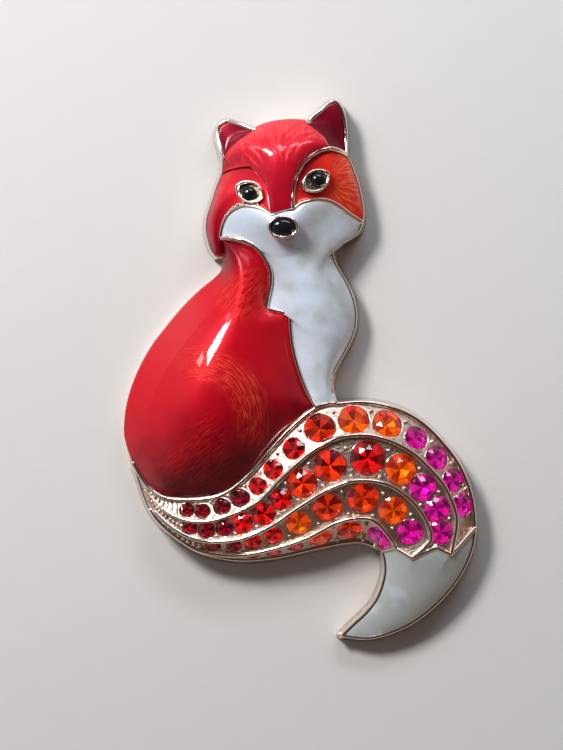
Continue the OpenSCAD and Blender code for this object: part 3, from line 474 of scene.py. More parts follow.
def hold_up(shape: bmesh.types.BMesh, node: str) -> None:
    """Raises the inner part of a sheet where it sank too far below the top of a CAD node.

    Args:
        shape: The sheet.
        node: The CAD node.
    """
    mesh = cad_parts[node].data
    corners = [vert.co / MM for vert in mesh.vertices]
    tree = BVHTree.FromPolygons(corners, [face.vertices[:] for face in mesh.polygons])
    inner = {vert for vert in shape.verts if not vert.is_boundary}
    for _ in range(BORDER_ROWS):
        inner = {vert for vert in inner if all(edge.other_vert(vert) in inner for edge in vert.link_edges)}
    for vert in inner:
        top = tree.ray_cast(Vector((vert.co.x, vert.co.y, OVER_ALL)), Vector((0, 0, -1)))[0]
        if top:
            vert.co.z = max(vert.co.z, top.z - MOST_SINK)


def close_up(shape: bmesh.types.BMesh) -> None:
    """Drops loose edges, fills what is open and turns all faces outward.

    Args:
        shape: The shape.
    """
    bmesh.ops.delete(shape, geom=[edge for edge in shape.edges if edge.is_wire], context="EDGES")
    bmesh.ops.holes_fill(shape, edges=[edge for edge in shape.edges if edge.is_boundary], sides=0)
    bmesh.ops.recalc_face_normals(shape, faces=shape.faces[:])


def thicken(shape: bmesh.types.BMesh, depth: float) -> None:
    """Turns an open sheet into a closed slab that reaches down by a depth.

    Args:
        shape: The sheet.
        depth: The depth.
    """
    made = bmesh.ops.extrude_face_region(shape, geom=shape.faces[:])
    lower = [item for item in made["geom"] if isinstance(item, bmesh.types.BMVert)]
    bmesh.ops.translate(shape, verts=lower, vec=(0, 0, -depth))
    close_up(shape)


def finished(name: str, shape: bmesh.types.BMesh, materials: Sequence[bpy.types.Material], slot: Slot,
             replaces: Sequence[str] = (), smooth: bool = True) -> bpy.types.Object:
    """Makes a shape in millimetres a piece of the brooch.

    Args:
        name: The piece's name.
        shape: Its mesh in millimetres, which is used up.
        materials: Its materials, in the order of the faces' material indices.
        slot: The record's slot; not used.
        replaces: The CAD nodes that it stands for.
        smooth: Whether its faces are shaded smooth.

    Returns:
        The new object.
    """
    bmesh.ops.scale(shape, vec=(MM, MM, MM), verts=shape.verts)
    mesh = bpy.data.meshes.new(name)
    shape.to_mesh(mesh)
    shape.free()
    mesh.polygons.foreach_set("use_smooth", [smooth] * len(mesh.polygons))
    for material in materials:
        mesh.materials.append(material)
    piece = bpy.data.objects.new(name, mesh)
    bpy.context.scene.collection.objects.link(piece)
    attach(piece, "root")
    if replaces:
        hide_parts(*replaces)
    LOG.info("%s: %d faces", name, len(mesh.polygons))
    return piece


@dataclass(frozen=True)
class Wiring:
    """Adds nodes to one tree and joins them.

    Attributes:
        tree: The tree that the nodes go into.
    """

    tree: bpy.types.NodeTree

    def add(self, kind: str, sockets: dict[Any, Any] | None = None, **settings: Any) -> bpy.types.Node:
        """Adds a node.

        Args:
            kind: The node's type, without the leading ShaderNode.
            sockets: Values or sources of its inputs, by name or number.
            **settings: Properties of the node.

        Returns:
            The node.
        """
        node = self.tree.nodes.new(kind if kind.startswith("NodeGroup") else "ShaderNode" + kind)
        for key, value in settings.items():
            setattr(node, key, value)
        for key, value in (sockets or {}).items():
            if isinstance(value, bpy.types.NodeSocket):
                self.tree.links.new(value, node.inputs[key])
            else:
                node.inputs[key].default_value = value
        return node

    def feed(self, inputs: Any, **sources: bpy.types.NodeSocket) -> None:
        """Joins sources to a node's inputs, where a name's underscores stand for spaces."""
        for key, source in sources.items():
            self.tree.links.new(source, inputs[key.replace("_", " ")])

    def math(self, operation: str, *values: Any) -> bpy.types.NodeSocket:
        """Adds a Math node and gives its result."""
        return self.add("Math", dict(enumerate(values)), operation=operation).outputs[0]

    def spread(self, value: Any, low: float, high: float, to_low: float = 0.0,
               to_high: float = 1.0) -> bpy.types.NodeSocket:
        """Eases a value between two limits to a new range.

        Args:
            value: The value or its source.
            low: The lower limit.
            high: The upper limit.
            to_low: The result at and below the lower limit.
            to_high: The result at and above the upper limit.

        Returns:
            The result.
        """
        node = self.add("MapRange", {"Value": value, "From Min": low, "From Max": high, "To Min": to_low,
                                     "To Max": to_high}, interpolation_type="SMOOTHSTEP")
        return node.outputs["Result"]

    def mixed(self, factor: Any, first: Any, second: Any, blend: str = "MIX") -> bpy.types.NodeSocket:
        """Mixes two colours."""
        node = self.add("Mix", {0: factor, 6: first, 7: second}, data_type="RGBA", blend_type=blend)
        return node.outputs[2]

    def group(self, tree: bpy.types.NodeTree, sockets: dict[str, Any]) -> bpy.types.Node:
        """Places a node group with its values."""
        return self.add("Group", sockets, node_tree=tree)

    def millimetres(self) -> bpy.types.NodeSocket:
        """Gives the place on the piece in millimetres."""
        place = self.add("TexCoord").outputs["Object"]
        return self.add("VectorMath", {0: place, 3: 1 / MM}, operation="SCALE").outputs[0]

    def way_between(self, start: Any, end: Any) -> bpy.types.NodeSocket:
        """Subtracts one vector from another."""
        return self.add("VectorMath", {0: end, 1: start}, operation="SUBTRACT").outputs[0]

    def gap(self, first: Any, second: Any) -> bpy.types.NodeSocket:
        """Gives the difference of two numbers without its sign."""
        return self.math("ABSOLUTE", self.math("SUBTRACT", first, second))


def new_group(name: str, inputs: dict[str, Any], outputs: Sequence[str]) -> tuple[Wiring, Any, Any]:
    """Starts a node group.

    Args:
        name: The group's name.
        inputs: Its inputs and their values: three numbers for a vector, one for a number.
        outputs: The names of its outputs, which are all numbers.

    Returns:
        Its wiring, its input node's outputs and its output node's inputs.
    """
    tree = bpy.data.node_groups.new(name, "ShaderNodeTree")
    for key, value in inputs.items():
        kind = "NodeSocketVector" if isinstance(value, tuple) else "NodeSocketFloat"
        tree.interface.new_socket(key, in_out="INPUT", socket_type=kind).default_value = value
    for key in outputs:
        tree.interface.new_socket(key, in_out="OUTPUT", socket_type="NodeSocketFloat")
    wiring = Wiring(tree)
    return wiring, wiring.add("NodeGroupInput").outputs, wiring.add("NodeGroupOutput").inputs


@lru_cache(maxsize=None)
def grain_group() -> bpy.types.NodeTree:
    """Builds the grain of cast metal: a height and a mask of its pits.

    Returns:
        The group's tree.
    """
    wiring, given, result = new_group("Cast grain", {"Grain": 0.25}, ["Height", "Pits"])
    place = wiring.add("TexCoord").outputs["Object"]
    per_metre = wiring.math("DIVIDE", 1 / MM, given["Grain"])
    coarse = wiring.add("TexVoronoi", {"Vector": place, "Scale": per_metre}, feature="SMOOTH_F1")
    fine = wiring.add("TexNoise", {"Vector": place, "Scale": wiring.math("MULTIPLY", per_metre, 2.0),
                                   "Detail": 3.0})
    height = wiring.math("ADD", coarse.outputs["Distance"], wiring.math("MULTIPLY", fine.outputs[0], 0.6))
    wiring.feed(result, Height=height, Pits=wiring.spread(coarse.outputs["Distance"], 0.45, 0.75))
    return wiring.tree


@lru_cache(maxsize=None)
def strokes_group() -> bpy.types.NodeTree:
    """Builds engraved strokes that run along arcs, or along rays, round a centre, inside a window.

    Returns:
        The group's tree.
    """
    wiring, given, result = new_group(
        "Engraved strokes",
        {"Centre": (0.0, 0.0, 0.0), "Radius": 5.0, "Spread": 2.0, "Angle": 0.0, "Reach": 1.0,
         "Ring pitch": 5.0, "Ray pitch": 3.0},
        ["Strokes"])
    offset = wiring.way_between(given["Centre"], wiring.millimetres())
    parts = wiring.add("SeparateXYZ", {0: offset}).outputs
    radius = wiring.math("POWER", wiring.math("ADD", wiring.math("POWER", parts[0], 2.0),
                                              wiring.math("POWER", parts[1], 2.0)), 0.5)
    angle = wiring.math("ARCTAN2", parts[1], parts[0])
    rings = wiring.math("MULTIPLY", radius, given["Ring pitch"])
    rays = wiring.math("MULTIPLY", angle, given["Ray pitch"])
    flow = wiring.add("CombineXYZ", {0: rings, 1: rays, 2: 0.0}).outputs[0]
    noise = wiring.add("TexNoise", {"Vector": flow, "Scale": 1.0, "Detail": 2.0, "Roughness": 0.55})
    lines = wiring.spread(noise.outputs[0], 0.42, 0.64)
    off_ring = wiring.math("DIVIDE", wiring.gap(radius, given["Radius"]), given["Spread"])
    off_ray = wiring.math("DIVIDE", wiring.gap(angle, given["Angle"]), given["Reach"])
    window = wiring.math("MULTIPLY", wiring.spread(off_ring, 0.25, 1.0, 1.0, 0.0),
                         wiring.spread(off_ray, 0.4, 1.0, 1.0, 0.0))
    wiring.feed(result, Strokes=wiring.math("MULTIPLY", lines, window))
    return wiring.tree


@lru_cache(maxsize=None)
def spot_group() -> bpy.types.NodeTree:
    """Builds a soft round spot, seen from the front.

    Returns:
        The group's tree.
    """
    wiring, given, result = new_group("Soft spot", {"Centre": (0.0, 0.0, 0.0), "Radius": 3.0}, ["Mask"])
    offset = wiring.way_between(given["Centre"], wiring.millimetres())
    level = wiring.add("VectorMath", {0: offset, 1: (1.0, 1.0, 0.0)}, operation="MULTIPLY").outputs[0]
    length = wiring.add("VectorMath", {0: level}, operation="LENGTH").outputs["Value"]
    share = wiring.math("DIVIDE", length, given["Radius"])
    wiring.feed(result, Mask=wiring.spread(share, 0.1, 1.0, 1.0, 0.0))
    return wiring.tree


@lru_cache(maxsize=None)
def shade_group() -> bpy.types.NodeTree:
    """Builds a slow change across the brooch: a slope from one place to another, with soft clouds.

    Returns:
        The group's tree.
    """
    wiring, given, result = new_group(
        "Slow shade", {"From": (0.0, 0.0, 0.0), "Way": (1.0, 0.0, 0.0), "Length": 10.0, "Clouds": 0.15},
        ["Shade", "Clouds"])
    place = wiring.millimetres()
    offset = wiring.way_between(given["From"], place)
    along = wiring.add("VectorMath", {0: offset, 1: given["Way"]}, operation="DOT_PRODUCT").outputs["Value"]
    clouds = wiring.add("TexNoise", {"Vector": place, "Scale": 0.35, "Detail": 2.0}).outputs[0]
    uneven = wiring.math("MULTIPLY", wiring.math("SUBTRACT", clouds, 0.5), given["Clouds"])
    share = wiring.math("ADD", wiring.math("DIVIDE", along, given["Length"]), uneven)
    wiring.feed(result, Shade=wiring.spread(share, 0.0, 1.0), Clouds=clouds)
    return wiring.tree


Colour = tuple[float, float, float]


def opaque(colour: Colour) -> tuple[float, float, float, float]:
    """Adds a full alpha to a colour."""
    return (*colour, 1.0)


def scaled_colour(colour: Colour, share: float) -> tuple[float, float, float, float]:
    """Multiplies a colour and adds a full alpha."""
    return opaque(tuple(share * value for value in colour))


def new_material(name: str) -> tuple[bpy.types.Material, Wiring, bpy.types.Node]:
    """Starts a material and gives its wiring and its shader.

    Args:
        name: The material's name.

    Returns:
        The material, its wiring and its shader.
    """
    material = bpy.data.materials.new(name)
    material.use_nodes = True
    return material, Wiring(material.node_tree), material.node_tree.nodes["Principled BSDF"]


def set_values(shader: bpy.types.Node, **values: Any) -> None:
    """Sets uniform values on a shader, where a name's underscores stand for spaces."""
    for key, value in values.items():
        shader.inputs[key.replace("_", " ")].default_value = value


@dataclass(frozen=True)
class Metal:
    """Gold-coloured metal.

    Attributes:
        name: The material's name.
        colour: Its colour where it is clean.
        deep: Its colour in the pits of the grain.
        roughness: Its roughness.
        grain: The size of its grain in millimetres.
        relief: The height of its grain in millimetres.
        pitting: How much of the deep colour shows in the pits.
    """

    name: str
    colour: Colour
    deep: Colour
    roughness: float
    grain: float
    relief: float
    pitting: float

    @cached_property
    def material(self) -> bpy.types.Material:
        """Builds the material.

        Returns:
            The material.
        """
        material, wiring, shader = new_material(self.name)
        grain = wiring.group(grain_group(), {"Grain": self.grain})
        shade = wiring.group(shade_group(), {"From": (-20.0, 0.0, 0.0), "Length": 40.0, "Clouds": 1.2})
        pits = wiring.math("MULTIPLY", grain.outputs["Pits"], self.pitting)
        base = wiring.mixed(pits, opaque(self.colour), opaque(self.deep))
        tinted = wiring.mixed(wiring.spread(shade.outputs["Clouds"], 0.3, 0.8, 0.0, 0.25), base,
                              scaled_colour(self.colour, 0.86))
        rough = wiring.spread(grain.outputs["Height"], 0.2, 1.2, 0.75 * self.roughness,
                              1.35 * self.roughness)
        bump = wiring.add("Bump", {"Height": grain.outputs["Height"], "Distance": self.relief * MM,
                                   "Strength": 1.0})
        wiring.feed(shader.inputs, Base_Color=tinted, Roughness=rough, Normal=bump.outputs[0])
        set_values(shader, Metallic=1.0)
        return material


@dataclass(frozen=True)
class Strokes:
    """One field of engraved strokes under the enamel, with its values for the node group.

    Attributes:
        centre: The centre of its arcs, in millimetres.
        radius: The radius of the middle arc.
        spread: How far the field reaches on each side of that arc.
        angle: The angle of its middle, in degrees.
        reach: How far it reaches on each side of that angle, in degrees.
        ring_pitch: Strokes for each millimetre across the arcs.
        ray_pitch: Strokes for each radian.
        strength: How much they lighten the enamel.
    """

    centre: tuple[float, float]
    radius: float
    spread: float
    angle: float
    reach: float
    ring_pitch: float
    ray_pitch: float
    strength: float


@dataclass(frozen=True)
class Enamel:
    """Translucent enamel over engraved metal, under a clear gloss.

    Attributes:
        name: The material's name.
        light: Its colour on the painted lit side.
        dark: Its colour in painted shade and in the painted shadows.
        stroke: Its colour over the engraved strokes, lighter: partly painted highlight where they catch the
            light.
        shade_from: The place from which it darkens, in millimetres.
        shade_way: The direction in which it darkens.
        shade_length: The length over which it darkens.
        foil: How metallic the metal below makes it.
        fields: The engraved strokes.
        painted_shadows: Spots of painted shadow, darkened to the shaded colour: X and Y, radius and
            strength.
        dull: Places where its gloss is softer: X and Y, and radius.
    """

    name: str
    light: Colour
    dark: Colour
    stroke: Colour
    shade_from: tuple[float, float]
    shade_way: tuple[float, float]
    shade_length: float
    foil: float = 0.2
    fields: tuple[Strokes, ...] = ()
    painted_shadows: tuple[tuple[float, float, float, float], ...] = ()
    dull: tuple[tuple[float, float, float], ...] = ()

    @cached_property
    def material(self) -> bpy.types.Material:
        """Builds the material.

        Returns:
            The material.
        """
        material, wiring, shader = new_material(self.name)
        shade = wiring.group(shade_group(), {"From": (*self.shade_from, 0.0), "Way": (*self.shade_way, 0.0),
                                             "Length": self.shade_length, "Clouds": 0.5})
        # Painted light and shade: the colour darkens from the lit colour along the shade's way.
        colour = wiring.mixed(shade.outputs["Shade"], opaque(self.light), opaque(self.dark))
        # Painted shadows: round spots that darken the colour further.
        for x, y, radius, strength in self.painted_shadows:
            spot = wiring.group(spot_group(), {"Centre": (x, y, 0.0), "Radius": radius})
            share = wiring.math("MULTIPLY", spot.outputs["Mask"], strength)
            colour = wiring.mixed(share, colour, opaque(self.dark))
        height = wiring.group(grain_group(), {"Grain": 0.6}).outputs["Height"]
        height = wiring.math("MULTIPLY", height, 0.15)
        # The engraved strokes are a real pattern and also press the bump; their lighter colour is partly
        # painted highlight.
        for one in self.fields:
            strokes = wiring.group(strokes_group(), {
                "Centre": (*one.centre, 0.0), "Radius": one.radius, "Spread": one.spread,
                "Angle": math.radians(one.angle), "Reach": math.radians(one.reach),
                "Ring pitch": one.ring_pitch, "Ray pitch": one.ray_pitch})
            share = wiring.math("MULTIPLY", strokes.outputs["Strokes"], one.strength)
            colour = wiring.mixed(share, colour, opaque(self.stroke))
            height = wiring.math("ADD", height, strokes.outputs["Strokes"])
        bump = wiring.add("Bump", {"Height": height, "Distance": 0.05 * MM, "Strength": 0.6})
        rough = wiring.spread(shade.outputs["Clouds"], 0.2, 0.8, 0.28, 0.42)
        soft = 0.0
        for x, y, radius in self.dull:
            spot = wiring.group(spot_group(), {"Centre": (x, y, 0.0), "Radius": radius})
            soft = wiring.math("MAXIMUM", soft, spot.outputs["Mask"])
        gloss = wiring.spread(soft, 0.0, 1.0, 1.0, 0.12)
        wiring.feed(shader.inputs, Base_Color=colour, Roughness=rough, Normal=bump.outputs[0],
                    Coat_Weight=gloss)
        set_values(shader, Metallic=self.foil, Specular_IOR_Level=0.1, Coat_Roughness=0.03,
                   Coat_IOR=1.38)
        return material


@dataclass(frozen=True)
class Pearl:
    """White pearly enamel.

    Attributes:
        name: The material's name.
        white: Its lightest colour, a bluish white whose blue is partly a painted reflection of the sky.
        shaded_grey: Its colour in painted shade, in the clouds and towards the right.
    """

    name: str
    white: Colour
    shaded_grey: Colour

    @cached_property
    def material(self) -> bpy.types.Material:
        """Builds the material.

        Returns:
            The material.
        """
        material, wiring, shader = new_material(self.name)
        # Painted shade and reflection: the bluish white turns grey in clouds and towards the right.
        shade = wiring.group(shade_group(), {"From": (-4.0, 0.0, 0.0), "Length": 14.0, "Clouds": 2.4})
        colour = wiring.mixed(shade.outputs["Shade"], opaque(self.white), opaque(self.shaded_grey))
        rough = wiring.spread(shade.outputs["Clouds"], 0.2, 0.8, 0.22, 0.34)
        grain = wiring.group(grain_group(), {"Grain": 0.9})
        bump = wiring.add("Bump", {"Height": grain.outputs["Height"], "Distance": 0.004 * MM,
                                   "Strength": 0.3})
        wiring.feed(shader.inputs, Base_Color=colour, Roughness=rough, Normal=bump.outputs[0])
        set_values(shader, Coat_Weight=1.0, Coat_Roughness=0.04, Coat_IOR=1.55, Specular_IOR_Level=0.6)
        return material


@dataclass(frozen=True)
class Gloss:
    """Black glass.

    Attributes:
        name: The material's name.
        colour: Its colour.
    """

    name: str
    colour: Colour

    @cached_property
    def material(self) -> bpy.types.Material:
        """Builds the material.

        Returns:
            The material.
        """
        material, wiring, shader = new_material(self.name)
        shade = wiring.group(shade_group(), {"Clouds": 1.0, "Length": 6.0})
        colour = wiring.mixed(shade.outputs["Clouds"], opaque(self.colour), scaled_colour(self.colour, 3))
        rough = wiring.spread(shade.outputs["Clouds"], 0.2, 0.8, 0.03, 0.07)
        wiring.feed(shader.inputs, Base_Color=colour, Roughness=rough)
        set_values(shader, Specular_IOR_Level=0.45)
        return material


@dataclass(frozen=True)
class Glass:
    """Coloured crystal with foil behind it.

    Attributes:
        slot: The record's slot of the stones.
        tint: The crystal's colour.
        foil: The foil's colour on its lit facets, which it also glows with as painted light.
        shadow: The foil's colour in its facets with painted shade.
        glow: The strength of the foil's painted glow.
    """

    slot: Slot
    tint: Colour
    foil: Colour
    shadow: Colour
    glow: float = 0.55

    @cached_property
    def materials(self) -> tuple[bpy.types.Material, bpy.types.Material]:
        """Builds the crystal's material and its foil's.

        Returns:
            Both materials.
        """
        crystal, wiring, shader = new_material(self.slot.value)
        shade = wiring.group(shade_group(), {"Clouds": 1.0, "Length": 4.0})
        tint = wiring.mixed(wiring.spread(shade.outputs["Clouds"], 0.3, 0.7, 0.0, 0.5), opaque(self.tint),
                            scaled_colour(self.tint, 0.8))
        wiring.feed(shader.inputs, Base_Color=tint)
        set_values(shader, Transmission_Weight=1.0, IOR=1.6, Roughness=0.0)
        foil, wiring, shader = new_material(self.slot.value + "_foil")
        facet = wiring.add("Attribute", attribute_name="facet_light")
        colour = wiring.mixed(facet.outputs["Fac"], opaque(self.shadow), opaque(self.foil))
        # Painted light: the foil glows with its own colour, brightest on the lit facets.
        wiring.feed(shader.inputs, Base_Color=colour, Emission_Color=colour)
        set_values(shader, Metallic=1.0, Roughness=0.16, Emission_Strength=self.glow)
        return crystal, foil


POLISHED = Metal("polished_rose_gold", (0.93, 0.76, 0.64), (0.66, 0.44, 0.33), 0.13, 0.5, 0.006, 0.15)
CAST = Metal("cast_rose_gold", (0.88, 0.68, 0.55), (0.34, 0.19, 0.13), 0.26, 0.3, 0.06, 0.7)
# The channel gold is a darker copy of the cast gold: painted shade on the floors deep in the channels.
CHANNEL = Metal("channel_rose_gold", (0.72, 0.55, 0.45), (0.24, 0.13, 0.09), 0.36, 0.28, 0.06, 0.75)
CUP_GOLD = Metal("dark_cup_gold", (0.30, 0.20, 0.12), (0.03, 0.018, 0.01), 0.35, 0.22, 0.06, 0.8)
PIN_STEEL = Metal("pin_gold", (0.88, 0.72, 0.60), (0.5, 0.36, 0.28), 0.18, 0.4, 0.005, 0.2)

# Painted shadows: the body's lie under the jaw and where it meets the bib and the tail, the cheeks' under
# the brows and at the lobe.
BODY_RED = Enamel(
    "body_red_enamel", (0.62, 0.004, 0.014), (0.10, 0.001, 0.009), (1.0, 0.09, 0.035),
    (-14.0, -1.0), (0.42, -0.91), 15.0, 0.2,
    (Strokes((-11.8, -5.5), 6.4, 2.6, 40, 78, 6.5, 4.0, 0.6),
     Strokes((21.9, -19.9), 40.0, 3.4, 135, 5.5, 5.5, 30.0, 0.35),
     Strokes((14.2, -40.2), 40.0, 4.5, 130, 8, 5.0, 26.0, 0.12)),
    ((-8.8, 13.6, 5.0, 0.85), (2.0, -0.5, 6.0, 0.35)),
    ((-7.8, 9.6, 8.2), (-24.0, -2.0, 16.0), (-19.0, 11.0, 12.0)))
HEAD_RED = Enamel(
    "forehead_red_enamel", (0.72, 0.010, 0.028), (0.36, 0.002, 0.018), (1.0, 0.10, 0.07),
    (-2.0, 27.0), (0.0, -1.0), 13.0, 0.2,
    (Strokes((-1.5, 10.0), 15.5, 3.5, 100, 30, 0.5, 34.0, 0.25),))
LEFT_CHEEK_RED = Enamel(
    "left_cheek_red_enamel", (0.68, 0.010, 0.022), (0.34, 0.002, 0.016), (1.0, 0.12, 0.05),
    (-7.5, 21.5), (-0.8, -0.6), 8.0, 0.2,
    (Strokes((-5.9, 19.6), 3.8, 2.0, 200, 50, 0.9, 15.0, 0.35),),
    ((-9.6, 12.9, 2.6, 0.8), (-6.0, 21.5, 2.2, 0.35)))
CHEEK_RED = Enamel(
    "cheek_orange_red_enamel", (0.85, 0.030, 0.014), (0.26, 0.002, 0.016), (1.0, 0.20, 0.07),
    (-4.0, 18.0), (-1.0, 0.1), 9.0, 0.2,
    (Strokes((1.6, 21.0), 4.0, 2.6, 0, 62, 0.9, 16.0, 0.75),),
    ((-0.4, 21.9, 4.2, 0.85),))
EAR_RED = Enamel(
    "ear_dark_red_enamel", (0.34, 0.004, 0.022), (0.13, 0.001, 0.010), (0.6, 0.02, 0.03),
    (-8.0, 28.0), (0.3, -0.95), 5.0, 0.2, dull=((3.8, 26.4, 6.0),))
WHITE = Pearl("pearl_white_enamel", (0.66, 0.72, 0.80), (0.47, 0.48, 0.45))
BLACK = Gloss("black_cabochon_glass", (0.004, 0.004, 0.005))

GLASSES = {
    "G": Glass(Slot.GARNET, (0.80, 0.14, 0.22), (0.42, 0.006, 0.04), (0.05, 0.002, 0.006), 0.45),
    "R": Glass(Slot.SIAM, (1.0, 0.16, 0.14), (0.92, 0.022, 0.03), (0.11, 0.002, 0.005), 0.48),
    "H": Glass(Slot.HYACINTH, (1.0, 0.26, 0.12), (1.0, 0.12, 0.01), (0.15, 0.004, 0.003), 0.48),
    "O": Glass(Slot.ORANGE, (1.0, 0.42, 0.12), (1.0, 0.27, 0.01), (0.38, 0.025, 0.004), 0.5),
    "F": Glass(Slot.FUCHSIA, (0.95, 0.16, 0.70), (0.90, 0.02, 0.52), (0.14, 0.002, 0.08), 0.52),
}
# The stones' colours, row by row from the tail's root.
ROW_COLOURS = ["GGGGRRRHOOFFFF", "GGGRRRHHROFFF", "GGRROHHOF", "RRRHHF"]
# How far the stones of each row lean towards the tail's tip, in radians.
LEANS = [0.17, 0.0, 0.0, -0.06]
# A CAD stone's girdle lies this share of its diameter over its foot.
CAD_GIRDLE = 0.2
# What the diameter of a CAD stone is multiplied by, and what is added to it in millimetres.
CUT_GROWTH = (1.05, 0.07)


@dataclass
class EnamelField:
    """A field of enamel, lofted from one side over its crest to the other.

    Attributes:
        node: The CAD node that it stands for.
        finish: Its enamel.
        slot: The record's slot.
        first: The chain of lines along its first side.
        crest: The points of its crest, as shares.
        second: The chain along its second side.
        sunk: How far the field lies below a line, by the line's name, in millimetres.
        across: Steps from each side to the crest.
        holes: Places that are left open.
        grooves: Furrows pressed into its face.
        rounds: How often its form is smoothed.
    """

    node: str
    finish: Enamel | Pearl
    slot: Slot
    first: Chain
    crest: list[tuple[float, float, float]]
    second: Chain
    sunk: dict[str, float] = field(default_factory=dict)
    across: int = 14
    holes: list[Callable[[Vector], bool]] = field(default_factory=list)
    grooves: list["Groove"] = field(default_factory=list)
    rounds: int = 30

    def side(self, chain: Chain, crest: Vector, place: float) -> tuple[Vector, float]:
        """Finds a rib's foot on one side and the share of the rib that the border takes.

        Args:
            chain: The side.
            crest: The rib's point on the crest.
            place: The place in steps.

        Returns:
            The foot, and the share.
        """
        foot = chain.at(place).copy()
        room = chain.value(place, lambda name: border_of(name).value)
        foot.z -= chain.value(place, lambda name: self.sunk.get(name, 0.0))
        way = crest - foot
        way.z = 0
        heading = chain.heading(place, 0.3)
        square = abs(way.x * heading.y - way.y * heading.x)
        share = room / max(square, 0.05)
        least, most, wide_most = BORDER_SHARES
        return foot, max(least, min(wide_most if room > WIDE_BORDER else most, share))

    def build(self) -> bpy.types.Object:
        """Builds and dresses the field.

        Returns:
            The new piece.
        """
        steps = self.first.length
        columns = steps * FINE
        inner = [sized(p) for p in self.crest]
        ribs = []
        for i in range(columns + 1):
            place = RIB_END + (steps - 2 * RIB_END) * i / columns
            top = on_curve(inner, place / steps * (len(inner) - 1))
            ribs.append((top, self.side(self.first, top, place), self.side(self.second, top, place)))

        def put(along: float, across: float) -> Vector:
            """Puts one vertex on its rib.

            Args:
                along: The share of the way along.
                across: The share of the way across.

            Returns:
                The vertex's place.
            """
            top, (a, share_a), (b, share_b) = ribs[round(along * columns)]
            foot, share = (a, share_a) if across <= 0.5 else (b, share_b)
            w = share + (1 - share) * (1 - abs(2 * across - 1)) ** RIB_PACE
            point = foot.lerp(top, w)
            point.z = foot.z + (top.z - foot.z) * (1 - max(0.0, 1 - w) ** FULLNESS)
            return point

        shape = new_shape()
        sheet(shape, columns, 2 * self.across, put)
        relax(shape, self.rounds)
        hold_up(shape, self.node)
        relax(shape, LAST_ROUNDS)
        for groove in self.grooves:
            groove.press(shape)
        for hole in self.holes:
            cut_out(shape, hole)
        thicken(shape, ENAMEL_SKIRT)
        return finished(self.node + "_fill", shape, [self.finish.material], self.slot, [self.node])


@dataclass
class Groove:
    """A furrow, or a fold where its depth is negative, along a smooth curve.

    Attributes:
        points: Its points in the photograph's pixels.
        depth: Its depth in millimetres.
        width: Its width in millimetres.
    """

    points: list[tuple[float, float]]
    depth: float
    width: float

    @cached_property
    def line(self) -> np.ndarray:
        """Works out points along it, in millimetres.

        Returns:
            Their X and Y, row by row.
        """
        knots = [at_pixel(*p) for p in self.points]
        last = len(knots) - 1
        return np.array([on_curve(knots, last * i / GROOVE_STEPS).xy for i in range(GROOVE_STEPS + 1)])

    def height_at(self, point: Vector) -> float:
        """Tells how far it moves a point up.

        Args:
            point: The point.

        Returns:
            The rise, which is negative in a furrow.
        """
        gaps = np.hypot(self.line[:, 0] - point.x, self.line[:, 1] - point.y)
        near = int(gaps.argmin())
        fade = math.sin(math.pi * min(max(near / GROOVE_STEPS, 0.08), 0.92)) ** 0.5
        return -self.depth * fade * math.exp(-(gaps[near] / self.width) ** 2)

    def press(self, shape: bmesh.types.BMesh) -> None:
        """Presses the furrow into a sheet."""
        for vert in shape.verts:
            vert.co.z += self.height_at(vert.co)


